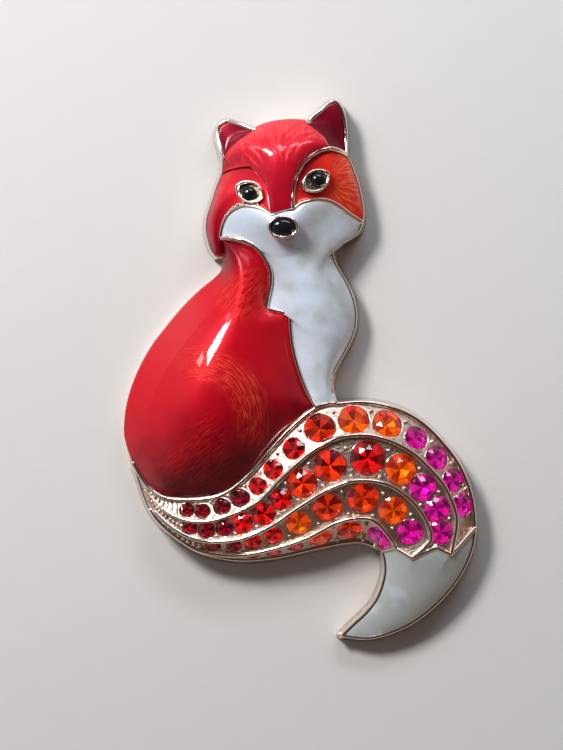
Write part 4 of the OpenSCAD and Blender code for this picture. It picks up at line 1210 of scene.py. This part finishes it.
@dataclass
class Cup:
    """A rimmed cup with a cabochon in it: an eye or the nose.

    Attributes:
        node: The cabochon's CAD node.
        middle: The cup's middle, as shares.
        turn: Its turn, in degrees.
        lean: Its lean, in degrees.
        length: Its length.
        width: Its width.
        pointed: Whether its ends are pointed.
        stone: The cabochon's two diameters and its rise over the rim.
        stone_place: The cabochon's place, as shares of length and width.
        rim: The width of the rim.
        depth: The floor's depth below the rim.
        around: Steps round the rim.
    """

    node: str
    middle: tuple[float, float, float]
    turn: float
    lean: float
    length: float
    width: float
    pointed: bool
    stone: tuple[float, float, float]
    stone_place: tuple[float, float] = (0.0, 0.0)
    rim: float = 0.29
    depth: float = 0.55
    around: int = 96

    @cached_property
    def seat(self) -> Matrix:
        """Works out where the cup sits and how it is turned.

        Returns:
            The matrix from the cup's frame to the brooch's.
        """
        turn, lean = math.radians(self.turn), math.radians(self.lean)
        turned = Matrix.Rotation(turn, 4, "Z") @ Matrix.Rotation(lean, 4, "Y")
        return Matrix.Translation(sized(self.middle)) @ turned

    def outline(self, share: float, inset: float = 0.0) -> Vector:
        """Finds a point of the outline in the cup's own frame.

        Args:
            share: The place round the outline, from 0 to 1.
            inset: How far inside the outline it lies.

        Returns:
            The point, with z at the rim.
        """
        long, wide = self.length - 2 * inset, self.width - 2 * inset
        if not self.pointed:
            turn = 2 * math.pi * share
            return Vector((long / 2 * math.cos(turn), wide / 2 * math.sin(turn), 0))
        radius = (long**2 + wide**2) / (4 * wide)
        half = math.asin(long / 2 / radius)
        side = 1 if share < 0.5 else -1
        turn = -half + 2 * half * (2 * share % 1)
        aside = side * (radius * math.cos(turn) - radius + wide / 2)
        return Vector((side * radius * math.sin(turn), aside, 0))

    def holds(self, point: Vector) -> bool:
        """Tells whether a point lies inside the rim, seen square to the cup.

        Args:
            point: The point.

        Returns:
            Whether it does.
        """
        p = self.seat.inverted() @ point
        if not self.pointed:
            return (2 * p.x / (self.length - self.rim)) ** 2 + (2 * p.y / (self.width - self.rim)) ** 2 < 1
        long, wide = self.length - self.rim, self.width - self.rim
        radius = (long**2 + wide**2) / (4 * wide)
        return abs(p.x) < long / 2 and abs(p.y) < math.sqrt(max(0, radius**2 - p.x**2)) - radius + wide / 2

    def add_rim(self, shape: bmesh.types.BMesh) -> None:
        """Adds the rim and the cup's wall to a shape.

        Args:
            shape: The shape.
        """
        half = self.rim / 2
        section = [(half, -0.6), (half, 0.04), (half * 0.6, 0.12), (0, 0.15), (-half * 0.6, 0.12),
                   (-half, 0.04), (-half, -self.depth - 0.05), (half, -0.6)]
        levels = len(section) - 1

        def put(along: float, across: float) -> Vector:
            """Puts one vertex of the rim in place."""
            aside, height = section[round(across * levels)]
            return self.outline(along % 1, half - aside) + Vector((0, 0, height))

        bmesh.ops.transform(shape, matrix=self.seat, verts=sheet(shape, self.around, levels, put))

    def add_floor(self, shape: bmesh.types.BMesh) -> None:
        """Adds the cup's floor to a shape.

        Args:
            shape: The shape.
        """
        made = sheet(shape, self.around, 5, lambda along, across: self.outline(along % 1, self.rim) * across
                     + Vector((0, 0, -self.depth)))
        bmesh.ops.transform(shape, matrix=self.seat, verts=made)

    def build_stone(self) -> bpy.types.Object:
        """Builds the cabochon.

        Returns:
            The new piece.
        """
        long, wide, rise = self.stone
        shape = new_shape()
        bmesh.ops.create_uvsphere(shape, u_segments=48, v_segments=24, radius=0.5)
        height = rise + self.depth
        bmesh.ops.scale(shape, vec=(long, wide, 1.25 * height), verts=shape.verts)
        low = rise - 0.625 * height
        offset = Vector((self.stone_place[0] * self.length, self.stone_place[1] * self.width, low))
        bmesh.ops.transform(shape, matrix=self.seat @ Matrix.Translation(offset), verts=shape.verts)
        return finished(self.node + "_cabochon", shape, [BLACK.material], Slot.BLACK, [self.node])


CUPS = [
    Cup("left_eye", (-0.148, 0.328, 0.77), -25, -12, 3.6, 2.5, True, (1.75, 1.75, 0.35), (-0.02, -0.10)),
    Cup("right_eye", (0.040, 0.348, 0.80), 33, 12, 3.6, 2.5, True, (1.75, 1.75, 0.35), (0.10, -0.02)),
    Cup("nose", (-0.053, 0.262, 0.97), 0, 0, 3.4, 2.55, False, (2.62, 1.95, 0.27)),
]
LEFT_EYE, RIGHT_EYE, NOSE = CUPS

BROW_GROOVES = [
    Groove([(292.5, 158), (297, 148), (304.5, 140.5), (315, 136), (327, 139)], 0.20, 0.28),
    Groove([(286, 158), (288.5, 146), (295, 137), (305, 132), (316, 131)], 0.16, 0.28),
    Groove([(282.5, 150), (286, 139), (293, 130.5), (303, 127)], 0.14, 0.26),
    Groove([(279, 141), (281, 133), (286, 127)], 0.08, 0.24),
    Groove([(292, 160), (295, 150), (302, 143), (313, 138.5), (325, 141)], -0.12, 0.25),
    Groove([(288, 150), (292, 141), (299, 135.5), (310, 133)], -0.10, 0.25),
    Groove([(247, 158), (258, 170), (266, 181), (271, 196)], -0.16, 0.32),
    Groove([(254, 150), (262, 158), (268, 168)], 0.12, 0.28),
    Groove([(243, 150), (252, 158), (259, 166)], 0.10, 0.28),
]

FIELDS = [
    EnamelField(
        "body_enamel", BODY_RED, Slot.RED, Chain((("nape", 2), ("back", 18))),
        [(-0.232, 0.244, 0.48), (-0.176, 0.201, 0.70), (-0.176, 0.130, 0.80), (-0.205, 0.056, 0.86),
         (-0.244, -0.008, 0.96), (-0.275, -0.064, 0.985), (-0.321, -0.123, 0.92),
         (-0.400, -0.169, 0.65), (-0.484, -0.169, 0.29)],
        Chain((("jaw", 6), ("bib_step", 1), ("bib_left", 4), ("tail_top", -9))),
        {"nape": 0.35, "jaw": 0.45, "bib_step": 0.3, "bib_left": 0.3, "tail_top": 0.15, "back": -0.15},
        24, rounds=120),
    EnamelField(
        "forehead_enamel", HEAD_RED, Slot.RED,
        Chain((("left_brow", 8), ("nose_top", 1), ("right_brow", 8))),
        [(-0.229, 0.365, 0.41), (-0.189, 0.395, 0.67), (-0.138, 0.404, 0.82), (-0.081, 0.393, 0.92),
         (-0.041, 0.393, 0.92), (0.001, 0.408, 0.87), (0.044, 0.413, 0.80), (0.081, 0.409, 0.69)],
        Chain((("head_left_upper", 1), ("left_ear_base", 4), ("head_top", 6), ("right_ear_base", 6))),
        {"head_top": -0.13}, 20, [NOSE.holds], BROW_GROOVES, 80),
    EnamelField(
        "left_cheek_enamel", LEFT_CHEEK_RED, Slot.ORANGE_RED,
        Chain((("left_brow", -8), ("head_left", 7), ("lobe", 1), ("nape", -2))),
        [(-0.084, 0.284, 0.88), (-0.110, 0.308, 0.78), (-0.147, 0.323, 0.70), (-0.189, 0.326, 0.64),
         (-0.224, 0.308, 0.59), (-0.246, 0.274, 0.53), (-0.249, 0.241, 0.50), (-0.232, 0.244, 0.48)],
        Chain((("left_cheek_top", 18),)),
        {"left_brow": 0.45}, 16, [LEFT_EYE.holds]),
    EnamelField(
        "right_cheek_enamel", CHEEK_RED, Slot.ORANGE_RED, Chain((("right_cheek_top", 18),)),
        [(-0.024, 0.295, 0.88), (-0.007, 0.321, 0.79), (0.036, 0.341, 0.73), (0.081, 0.352, 0.68),
         (0.121, 0.345, 0.59), (0.150, 0.311, 0.49), (0.174, 0.274, 0.37)],
        Chain((("right_brow", 8), ("right_brow_end", 3), ("head_right", 7))),
        {"right_brow": 0.5, "right_brow_end": 0.35}, 16, [RIGHT_EYE.holds]),
    EnamelField(
        "left_ear_enamel", EAR_RED, Slot.DARK_RED, Chain((("left_ear_base", 8),)),
        [(-0.226, 0.387, 0.51), (-0.215, 0.411, 0.44), (-0.201, 0.433, 0.42), (-0.172, 0.443, 0.47),
         (-0.130, 0.446, 0.56)],
        Chain((("left_ear", 8),)), {"left_ear_base": 0.3}, 10),
    EnamelField(
        "right_ear_enamel", EAR_RED, Slot.DARK_RED, Chain((("right_ear_base", 6), ("right_brow_end", 3))),
        [(0.014, 0.457, 0.56), (0.053, 0.465, 0.48), (0.087, 0.461, 0.43), (0.104, 0.432, 0.44),
         (0.130, 0.398, 0.47)],
        Chain((("right_ear", 9),)), {"right_ear_base": 0.3}, 10),
    EnamelField(
        "face_and_bib_enamel", WHITE, Slot.WHITE,
        Chain((("left_cheek_top", 9), ("jaw", 6), ("bib_step", 1), ("bib_left", 4))),
        [(-0.054, 0.289, 0.90), (-0.051, 0.254, 0.96), (-0.047, 0.241, 0.92), (-0.038, 0.226, 0.82),
         (-0.024, 0.210, 0.74), (-0.004, 0.186, 0.70), (0.019, 0.151, 0.71), (0.038, 0.106, 0.72),
         (0.053, 0.051, 0.70), (0.064, -0.010, 0.66), (0.072, -0.063, 0.62)],
        Chain((("right_cheek_top", 9), ("bib_right", 11))),
        {"jaw": 0.3, "bib_left": 0.12}, 20, [NOSE.holds],
        [Groove([(284, 232), (287, 244), (291, 258)], -0.32, 1.4)], 70),
]


@dataclass
class TailTip:
    """The white tip of the tail, from the zigzag edge to its point.

    Attributes:
        swell: Rise of its middle above its rims.
        roundness: Power of its profile from side to side: higher is flatter in the middle.
        stretch: The share of its edges where the first row stands, and how far the rows go on.
        zigzag_reach: Steps over which the form of the zigzag edge fades out.
        rooms: How far the enamel stays from its inner and outer edges.
    """

    swell: float = 1.8
    roundness: float = 2.2
    stretch: tuple[float, float] = (0.008, 0.975)
    zigzag_reach: float = 3.0
    rooms: tuple[float, float] = (0.04, 0.14)

    def put(self, along: float, across: float) -> Vector:
        """Puts one vertex of the tip in place.

        Args:
            along: The share of the way from the edge to the point.
            across: The share of the way from the inner side to the outer side.

        Returns:
            The vertex's place.
        """
        front0, back0 = line_at("blade_front", 0), line_at("blade_back", 0)
        share = self.stretch[0] + self.stretch[1] * along
        a, b = line_at("blade_front", share), line_at("blade_back", share)
        wide = max((b - a).xy.length, 0.3)
        edge = tail_point(TAIL_END, 8 * across)
        base = (back0 - front0).xy
        f = (edge - front0).xy.dot(base) / base.length_squared
        inner, outer = min(0.3, self.rooms[0] / wide), min(0.3, self.rooms[1] / wide)
        g = inner + (1 - inner - outer) * f
        steps = 8 * share
        fade = max(0.0, 1 - steps / self.zigzag_reach) ** 2
        rise = self.swell * (1 - abs(2 * g - 1) ** self.roundness) * (1 - share) * (1 - fade)
        start = edge - front0.lerp(back0, f)
        return a.lerp(b, g) + start * fade + Vector((0, 0, rise))

    def build(self) -> bpy.types.Object:
        """Builds and dresses the tip.

        Returns:
            The new piece.
        """
        shape = new_shape()
        sheet(shape, 72, 64, self.put)
        thicken(shape, ENAMEL_SKIRT)
        return finished("tail_tip_enamel_fill", shape, [WHITE.material], Slot.WHITE, ["tail_tip_enamel"])


OUTER_RIMS = [
    Chain((("lobe", -1), ("head_left", -7), ("head_left_upper", -1), ("left_ear", 8))),
    Chain((("right_ear", 9), ("head_right", 7), ("bib_right", 11), ("tail_back", 7), ("blade_back", 8),
           ("blade_front", -8), ("tail_under", -17))),
]
# How far each rim between two fields is raised, in millimetres, and its lines.
INNER_RIMS = [
    (0.0, Chain((("right_brow", 8), ("right_brow_end", 3)))),
    (0.0, Chain((("right_cheek_top", 9),))),
    (0.0, Chain((("nose_top", 1),))),
    (0.0, Chain((("left_cheek_top", 9),))),
    (0.18, Chain((("jaw", 6), ("bib_step", 1), ("bib_left", 4)))),
    (0.0, Chain((("tail_top", 9), ("bib_bottom", 1)))),
]


@dataclass
class Rims:
    """The polished rims: the outline with its wall, the rims between the fields and the tail's ridges.

    Attributes:
        width: The width of a rim.
        crown: The height of its crown.
        wall_out: How far the wall's foot stands out.
        granules: Number of granules of metal over the left cheek.
    """

    width: float = RIM_WIDTH
    crown: float = CROWN
    wall_out: float = 0.39
    granules: int = 34

    def outer_section(self) -> list[tuple[float, float | None]]:
        """Gives the section of the outline's rim and wall.

        Returns:
            Points as distance outwards and height, None for the wall's foot on the ground.
        """
        w, c = self.width, self.crown + 0.03
        return [(self.wall_out, None), (0.16, -1.2), (0.06, -0.3), (0.05, 0.0), (0.0, 0.6 * c),
                (-0.2 * w, c), (-0.55 * w, c), (-0.85 * w, 0.6 * c), (-w, 0.0), (-w - 0.02, -0.7)]

    def inner_section(self, share: float = 1.0, depth: float = 0.75) -> list[tuple[float, float | None]]:
        """Gives the section of a rim between two fields.

        Args:
            share: Its width as a share of a full rim's.
            depth: How deep it reaches into the enamel.

        Returns:
            Points as distance outwards and height.
        """
        h, c = self.width * share / 2 + 0.02, self.crown + 0.03
        return [(h, -depth), (h, 0.0), (0.75 * h, 0.6 * c), (0.3 * h, c), (-0.3 * h, c),
                (-0.75 * h, 0.6 * c), (-h, 0.0), (-h, -depth)]

    def along(self, chain: Chain, lift: float = 0.0) -> Route:
        """Makes a route along a chain, raised by a lift, with its outward side on the left.

        Args:
            chain: The chain.
            lift: How far the route lies over it.

        Returns:
            The route.
        """
        def stop(share: float) -> tuple[Vector, Vector, Vector]:
            """Finds one stop of the route.

            Args:
                share: How far along the route it is.

            Returns:
                The point, the outward direction and the upward direction.
            """
            place = share * chain.length
            way = chain.heading(place)
            return chain.at(place) + Vector((0, 0, lift)), Vector((-way.y, way.x, 0)), Vector((0, 0, 1))
        return stop

    def along_points(self, points: Callable[[float], Vector]) -> Route:
        """Makes a route along a curve given by a function of a share.

        Args:
            points: The curve.

        Returns:
            The route.
        """
        def stop(share: float) -> tuple[Vector, Vector, Vector]:
            """Finds one stop of the route.

            Args:
                share: How far along the route it is.

            Returns:
                The point, the outward direction and the upward direction.
            """
            way = points(min(1, share + 0.004)) - points(max(0, share - 0.004))
            return points(share), Vector((-way.y, way.x, 0)).normalized(), Vector((0, 0, 1))
        return stop

    def build(self) -> bpy.types.Object:
        """Builds all the rims as one piece.

        Returns:
            The new piece.
        """
        shape = new_shape()
        for outline in OUTER_RIMS:
            sweep(shape, outline.length * FINE, self.along(outline), self.outer_section())
        for lift, chain in INNER_RIMS:
            sweep(shape, chain.length * FINE, self.along(chain, lift), self.inner_section())
        for rail in (1, 2, 3):
            first = 1.2 + 0.3 * rail
            sweep(shape, 140, self.along_points(
                lambda s, rail=rail, first=first: on_curve(RAILS[rail], first + (TAIL_END - first) * s)),
                self.inner_section(0.95))
        zigzag = self.along_points(lambda s: tail_point(TAIL_END, 8 * s))
        sweep(shape, 96, zigzag, self.inner_section(0.9, 0.5))
        close_up(shape)
        self.add_granules(shape)
        return finished("polished_rims", shape, [POLISHED.material], Slot.GOLD)

    def add_granules(self, shape: bmesh.types.BMesh) -> None:
        """Widens the left cheek's upper rim with granules of metal.

        Args:
            shape: The shape that they are added to.
        """
        chance = np.random.default_rng(3)
        for share in np.linspace(0.12, 0.72, self.granules).tolist():
            aside = float(chance.uniform(0.1, 0.5)) * math.sin(math.pi * (share - 0.02) / 0.76)
            way = (line_at("left_cheek_top", share + 0.01) - line_at("left_cheek_top", share)).normalized()
            place = line_at("left_cheek_top", share) + Vector((way.y, -way.x, 0)) * aside
            seat = Matrix.Translation(place + Vector((0, 0, 0.02)))
            add_bead(shape, float(chance.uniform(0.10, 0.17)), seat)


@dataclass(frozen=True)
class Stone:
    """A round brilliant, seated where its CAD node is.

    Attributes:
        node: The CAD node that it stands for.
        middle: The middle of its girdle, in millimetres.
        axis: The direction that its table faces.
        diameter: Its diameter.
        turn: How it is turned about its axis, in radians.
    """

    node: str
    middle: Vector
    axis: Vector
    diameter: float
    turn: float

    @classmethod
    def from_node(cls, node: str, turn: float, lean: float) -> "Stone":
        """Reads a stone's place and size from its CAD node.

        Args:
            node: The CAD node.
            turn: How the stone is turned about its axis, in radians.
            lean: How far its table leans towards the tail's tip, in radians.

        Returns:
            The stone.
        """
        points = np.unique(np.round([v.co[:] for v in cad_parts[node].data.vertices], 7), axis=0) / MM
        middle = points.mean(0)
        axis = np.linalg.eigh(np.cov((points - middle).T))[1][:, 0]
        axis *= 1 if axis[2] > 0 else -1
        heights = (points - middle) @ axis
        aside = np.linalg.norm(points - middle - np.outer(heights, axis), axis=1)
        solid = 2 * aside.max()
        girdle = middle + axis * (heights.min() + CAD_GIRDLE * solid)
        axis = (Vector(axis) - Vector((0, lean, 0))).normalized()
        factor, growth = CUT_GROWTH
        return cls(node, Vector(girdle), axis, float(factor * solid + growth), turn)

    @property
    def seat(self) -> Matrix:
        """Works out where the stone sits."""
        turned = self.axis.to_track_quat("Z", "X").to_matrix().to_4x4() @ Matrix.Rotation(self.turn, 4, "Z")
        return Matrix.Translation(self.middle + self.axis * FLOOR_LIFT) @ turned

    def add_cut(self, shape: bmesh.types.BMesh) -> None:
        """Adds the cut stone's facets to a shape: table, star, kite, girdle and pavilion facets.

        Args:
            shape: The shape.
        """
        radius = self.diameter / 2
        # Columns: radius and height as shares of the stone's radius, corners, and half a step's turn.
        rings = [(0.54, 0.38, 8, 0), (0.80, 0.22, 8, 1), (1.0, 0.05, 16, 0), (1.0, -0.02, 16, 0),
                 (0.56, -0.25, 8, 0), (0.03, -0.42, 8, 0)]
        for share, height, corners, half in rings:
            made = bmesh.ops.create_circle(shape, segments=corners, radius=share * radius)
            turn = Matrix.Rotation(math.pi / 8 * half, 4, "Z")
            bmesh.ops.transform(shape, matrix=Matrix.Translation((0, 0, height * radius)) @ turn,
                                verts=made["verts"])
        bmesh.ops.delete(shape, geom=shape.edges[:], context="EDGES_FACES")
        bmesh.ops.convex_hull(shape, input=shape.verts[:])
        bmesh.ops.dissolve_limit(shape, angle_limit=math.radians(0.6), verts=shape.verts[:],
                                 edges=shape.edges[:])
        bmesh.ops.recalc_face_normals(shape, faces=shape.faces[:])

    def build(self, glass: Glass, chance: np.random.Generator) -> bpy.types.Object:
        """Builds and dresses the stone.

        Args:
            glass: Its glass.
            chance: The source of the random part of its facets' painted light.

        Returns:
            The new piece.
        """
        shape = new_shape()
        self.add_cut(shape)
        # Painted light of each facet: every other spoke and the lower facets are lighter, with a random
        # part.
        lights = shape.faces.layers.float.new("facet_light")
        for face in shape.faces:
            middle = face.calc_center_median()
            face.material_index = int(middle.z < -0.03 * self.diameter)
            spoke = int(math.atan2(middle.y, middle.x) / math.pi * 4 + 4.01) % 2
            low = (self.middle.y - (self.seat @ middle).y) / self.diameter
            light = 0.75 * spoke + 0.9 * low + float(chance.uniform(-0.15, 0.35))
            face[lights] = max(0.0, min(1.0, light))
        bmesh.ops.transform(shape, matrix=self.seat, verts=shape.verts)
        return finished(self.node + "_cut", shape, glass.materials, glass.slot, [self.node], smooth=False)


@dataclass
class Setting:
    """The floor of the channels, the collars round the stones and the grains that hold them.

    Attributes:
        rows: The stones, row by row.
        collar: The width of a stone's collar.
        grain: The diameter of a grain.
        floor_steps: Steps of the floor along the tail and across it.
    """

    rows: list[list[Stone]]
    collar: float = 0.15
    grain: float = 0.5
    floor_steps: tuple[int, int] = (320, 96)

    def build_floor(self) -> bpy.types.Object:
        """Builds the channels' floor, open under each stone.

        Returns:
            The new piece.
        """
        shape = new_shape()
        def put(along: float, across: float) -> Vector:
            """Puts one vertex of the floor in place."""
            point = tail_point(0.4 + (TAIL_END - 0.4) * along, 8 * across)
            return point - Vector((0, 0, CHANNEL_DEPTH - FLOOR_LIFT))

        sheet(shape, *self.floor_steps, put)
        places = np.array([stone.middle[:] for row in self.rows for stone in row])
        reach = np.array([stone.diameter * 0.5 for row in self.rows for stone in row])

        def under_stone(point: Vector) -> bool:
            """Tells whether a point lies under a stone."""
            gaps = np.linalg.norm(places - np.array(point), axis=1)
            return bool((gaps < reach).any())

        cut_out(shape, under_stone)
        thicken(shape, 0.5 * FLOOR_LIFT)
        return finished("channel_floor", shape, [CHANNEL.material], Slot.GOLD)

    def build_collars(self) -> bpy.types.Object:
        """Builds a thin collar of metal round each stone's girdle.

        Returns:
            The new piece.
        """
        shape = new_shape()
        for row in self.rows:
            for stone in row:
                radius, tube = stone.diameter / 2 + 0.3 * self.collar, self.collar / 2

                def put(along: float, across: float, radius: float = radius, tube: float = tube) -> Vector:
                    """Puts one vertex of a collar in place.

                    Args:
                        along: The share of the way along.
                        across: The share of the way across.
                        radius: The ring's radius.
                        tube: Half the collar's width.

                    Returns:
                        The vertex's place.
                    """
                    turn, roll = 2 * math.pi * along, 2 * math.pi * across
                    out = radius + tube * math.cos(roll)
                    return Vector((out * math.cos(turn), out * math.sin(turn), 1.3 * tube * math.sin(roll)))

                bmesh.ops.transform(shape, matrix=stone.seat, verts=sheet(shape, 24, 4, put))
        bmesh.ops.remove_doubles(shape, verts=shape.verts[:], dist=MERGE)
        bmesh.ops.recalc_face_normals(shape, faces=shape.faces[:])
        return finished("stone_collars", shape, [POLISHED.material], Slot.GOLD)

    def build_grains(self) -> bpy.types.Object:
        """Builds the grains of metal between neighbouring stones, two at each side of the row.

        Returns:
            The new piece.
        """
        shape = new_shape()
        for row in self.rows:
            for one, other in zip(row, row[1:]):
                middle = (one.middle + other.middle) / 2
                axis = (one.axis + other.axis).normalized()
                aside = axis.cross(other.middle - one.middle).normalized()
                reach = (one.diameter + other.diameter) / 4
                for side in (-1, 1):
                    size = self.grain * (0.75 + 0.35 * reach / 1.8)
                    place = middle + aside * side * reach * 0.83 + axis * (FLOOR_LIFT + 0.06)
                    seat = Matrix.Translation(place) @ axis.to_track_quat("Z", "X").to_matrix().to_4x4()
                    add_bead(shape, size / 2, seat)
        return finished("holding_grains", shape, [POLISHED.material], Slot.GOLD)


@dataclass
class TailRoot:
    """The worked strips at the root of the tail: a ladder, a row of beads and smooth lines.

    Attributes:
        bars: Number of the ladder's bars.
        beads: Number of beads in each beaded strip.
    """

    bars: int = 9
    beads: int = 13

    def build(self) -> bpy.types.Object:
        """Builds the strips as one piece.

        Returns:
            The new piece.
        """
        shape = new_shape()
        for i in range(self.bars):
            station = 1.15 + 2.0 * i / (self.bars - 1)
            low, high = tail_point(station, 6.25), tail_point(station, 7.75)
            along = (high - low)
            seat = Matrix.Translation((low + high) / 2 - Vector((0, 0, 0.22)))
            seat = seat @ along.to_track_quat("X", "Z").to_matrix().to_4x4()
            size = Matrix.Diagonal((along.length, 0.17, 0.34, 1))
            add_bead(shape, 0.5, seat @ size)
        for across, first, last in ((5.0, 1.0, 3.15), (3.0, 1.3, 3.9)):
            for i in range(self.beads):
                station = first + (last - first) * i / (self.beads - 1)
                wide = (tail_point(station, across + 1) - tail_point(station, across - 1)).length
                place = tail_point(station, across) - Vector((0, 0, 0.3))
                radius = min(0.3, max(0.1, 0.2 * wide))
                add_bead(shape, radius, Matrix.Translation(place))
        return finished("tail_root_strips", shape, [POLISHED.material], Slot.GOLD)


@dataclass
class Casting:
    """The casting and the pin, which keep their CAD solids and get their metals."""

    def dress(self) -> None:
        """Gives the casting and the pin their materials."""
        for node, metal in (("casting", CAST), ("brooch_pin", PIN_STEEL)):
            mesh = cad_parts[node].data
            mesh.materials.clear()
            mesh.materials.append(metal.material)
            LOG.info("%s keeps its solid", node)

    def build_cups(self) -> None:
        """Builds the rims and floors of the eyes and the nose."""
        rims, floors = new_shape(), new_shape()
        for cup in CUPS:
            cup.add_rim(rims)
            cup.add_floor(floors)
        bmesh.ops.remove_doubles(rims, verts=rims.verts[:], dist=MERGE)
        bmesh.ops.remove_doubles(floors, verts=floors.verts[:], dist=MERGE)
        bmesh.ops.recalc_face_normals(rims, faces=rims.faces[:])
        thicken(floors, 0.05)
        finished("cup_rims", rims, [POLISHED.material], Slot.GOLD)
        finished("cup_floors", floors, [CUP_GOLD.material], Slot.GOLD)
        for cup in CUPS:
            cup.build_stone()


@dataclass(frozen=True)
class Lamp:
    """A soft lamp that faces the brooch.

    Attributes:
        name: Its name.
        place: Where it stands, in millimetres.
        size: Its width and height, in millimetres.
        power: Its power in watts.
        colour: Its colour.
    """

    name: str
    place: tuple[float, float, float]
    size: tuple[float, float]
    power: float
    colour: Colour

    def build(self) -> None:
        """Sets the lamp up."""
        data = bpy.data.lights.new(self.name, "AREA")
        data.shape = "RECTANGLE"
        data.size, data.size_y = self.size[0] * MM, self.size[1] * MM
        data.energy = self.power
        data.color = self.colour
        lamp = bpy.data.objects.new(self.name, data)
        lamp.location = Vector(self.place) * MM
        lamp.rotation_euler = (-lamp.location).to_track_quat("-Z", "Y").to_euler()
        bpy.context.scene.collection.objects.link(lamp)


LAMPS = [
    Lamp("window", (-147.0, 182.0, 247.0), (72.0, 84.0), 1.0, (0.97, 0.98, 1.0)),
    Lamp("far_window", (-224.0, 166.0, 195.0), (26.0, 60.0), 0.06, (0.85, 0.92, 1.0)),
    Lamp("sky_panel", (60.0, 260.0, 190.0), (200.0, 60.0), 0.34, (0.78, 0.88, 1.0)),
]


@dataclass
class Studio:
    """The pale floor, the soft light and the camera.

    Attributes:
        floor_colour: The floor's colour.
        camera_height: The camera's height over the floor, in millimetres.
        frame_height: The height of the picture at the brooch's mean level, in millimetres.
        mean_level: That level.
        aim: The pixel of the photograph at the picture's middle.
        room_light: The strength of the soft surroundings.
        warm_side: The colour of the surroundings below on the right.
        cool_side: Their colour above on the left.
    """

    floor_colour: Colour = (0.74, 0.70, 0.66)
    camera_height: float = 400.0
    frame_height: float = 750 / PIXELS_PER_MM
    mean_level: float = 4.0
    aim: tuple[float, float] = (282.3, 375.0)
    room_light: float = 0.6
    warm_side: Colour = (0.34, 0.23, 0.17)
    cool_side: Colour = (0.78, 0.87, 1.0)

    def build_floor(self) -> None:
        """Lays the floor."""
        shape = new_shape()
        bmesh.ops.create_grid(shape, x_segments=8, y_segments=8, size=600 * MM, calc_uvs=True)
        mesh = bpy.data.meshes.new("studio_floor")
        shape.to_mesh(mesh)
        shape.free()
        material, wiring, shader = new_material("pale_floor")
        shade = wiring.group(shade_group(), {"Clouds": 1.0, "Length": 300.0})
        colour = wiring.mixed(shade.outputs["Clouds"], opaque(self.floor_colour),
                              scaled_colour(self.floor_colour, 0.97))
        wiring.feed(shader.inputs, Base_Color=colour)
        set_values(shader, Roughness=0.6)
        mesh.materials.append(material)
        floor = bpy.data.objects.new("studio_floor", mesh)
        bpy.context.scene.collection.objects.link(floor)

    def build_light(self) -> None:
        """Sets up the lamps and the soft surroundings."""
        for lamp in LAMPS:
            lamp.build()
        world = bpy.data.worlds.new("soft_room")
        world.use_nodes = True
        wiring = Wiring(world.node_tree)
        parts = wiring.add("SeparateXYZ", {0: wiring.add("TexCoord").outputs["Generated"]}).outputs
        turn = wiring.math("ADD", wiring.math("MULTIPLY", parts[1], 0.8),
                           wiring.math("MULTIPLY", parts[0], -0.6))
        sides = wiring.mixed(wiring.spread(turn, -0.6, 0.7), opaque(self.warm_side), opaque(self.cool_side))
        level = wiring.spread(parts[2], 0.25, 0.98, 1.0, 0.07)
        colour = wiring.mixed(1.0, sides, level, "MULTIPLY")
        shader = world.node_tree.nodes["Background"]
        wiring.feed(shader.inputs, Color=colour)
        set_values(shader, Strength=self.room_light)
        bpy.context.scene.world = world

    def build_camera(self) -> None:
        """Hangs the camera straight over the picture's middle."""
        data = bpy.data.cameras.new("portrait_camera")
        data.lens = data.sensor_width * (self.camera_height - self.mean_level) / self.frame_height
        data.clip_start, data.clip_end = 0.01, 5.0
        camera = bpy.data.objects.new("portrait_camera", data)
        camera.location = at_pixel(*self.aim, self.camera_height) * MM
        bpy.context.scene.collection.objects.link(camera)
        bpy.context.scene.camera = camera
        bpy.context.scene.view_settings.view_transform = "Standard"

    def build(self) -> None:
        """Builds the whole studio."""
        self.build_floor()
        self.build_light()
        self.build_camera()
        LOG.info("studio ready")


def build_stones() -> list[list[Stone]]:
    """Builds all the cut stones.

    Returns:
        The stones, row by row.
    """
    chance = np.random.default_rng(7)
    rows = []
    for number, (colours, lean) in enumerate(zip(ROW_COLOURS, LEANS), start=1):
        row = []
        for i, key in enumerate(colours, start=1):
            stone = Stone.from_node(f"row_{number}_stone_{i:02d}", float(chance.uniform(0, 0.8)), lean)
            stone.build(GLASSES[key], chance)
            row.append(stone)
        rows.append(row)
    return rows


def main() -> None:
    """Builds the brooch and its studio."""
    logging.basicConfig(level=logging.INFO, format="%(message)s")
    Studio().build()
    casting = Casting()
    casting.dress()
    casting.build_cups()
    for one in FIELDS:
        one.build()
    TailTip().build()
    Rims().build()
    setting = Setting(build_stones())
    setting.build_floor()
    setting.build_collars()
    setting.build_grains()
    TailRoot().build()


if __name__ == "__main__":
    main()
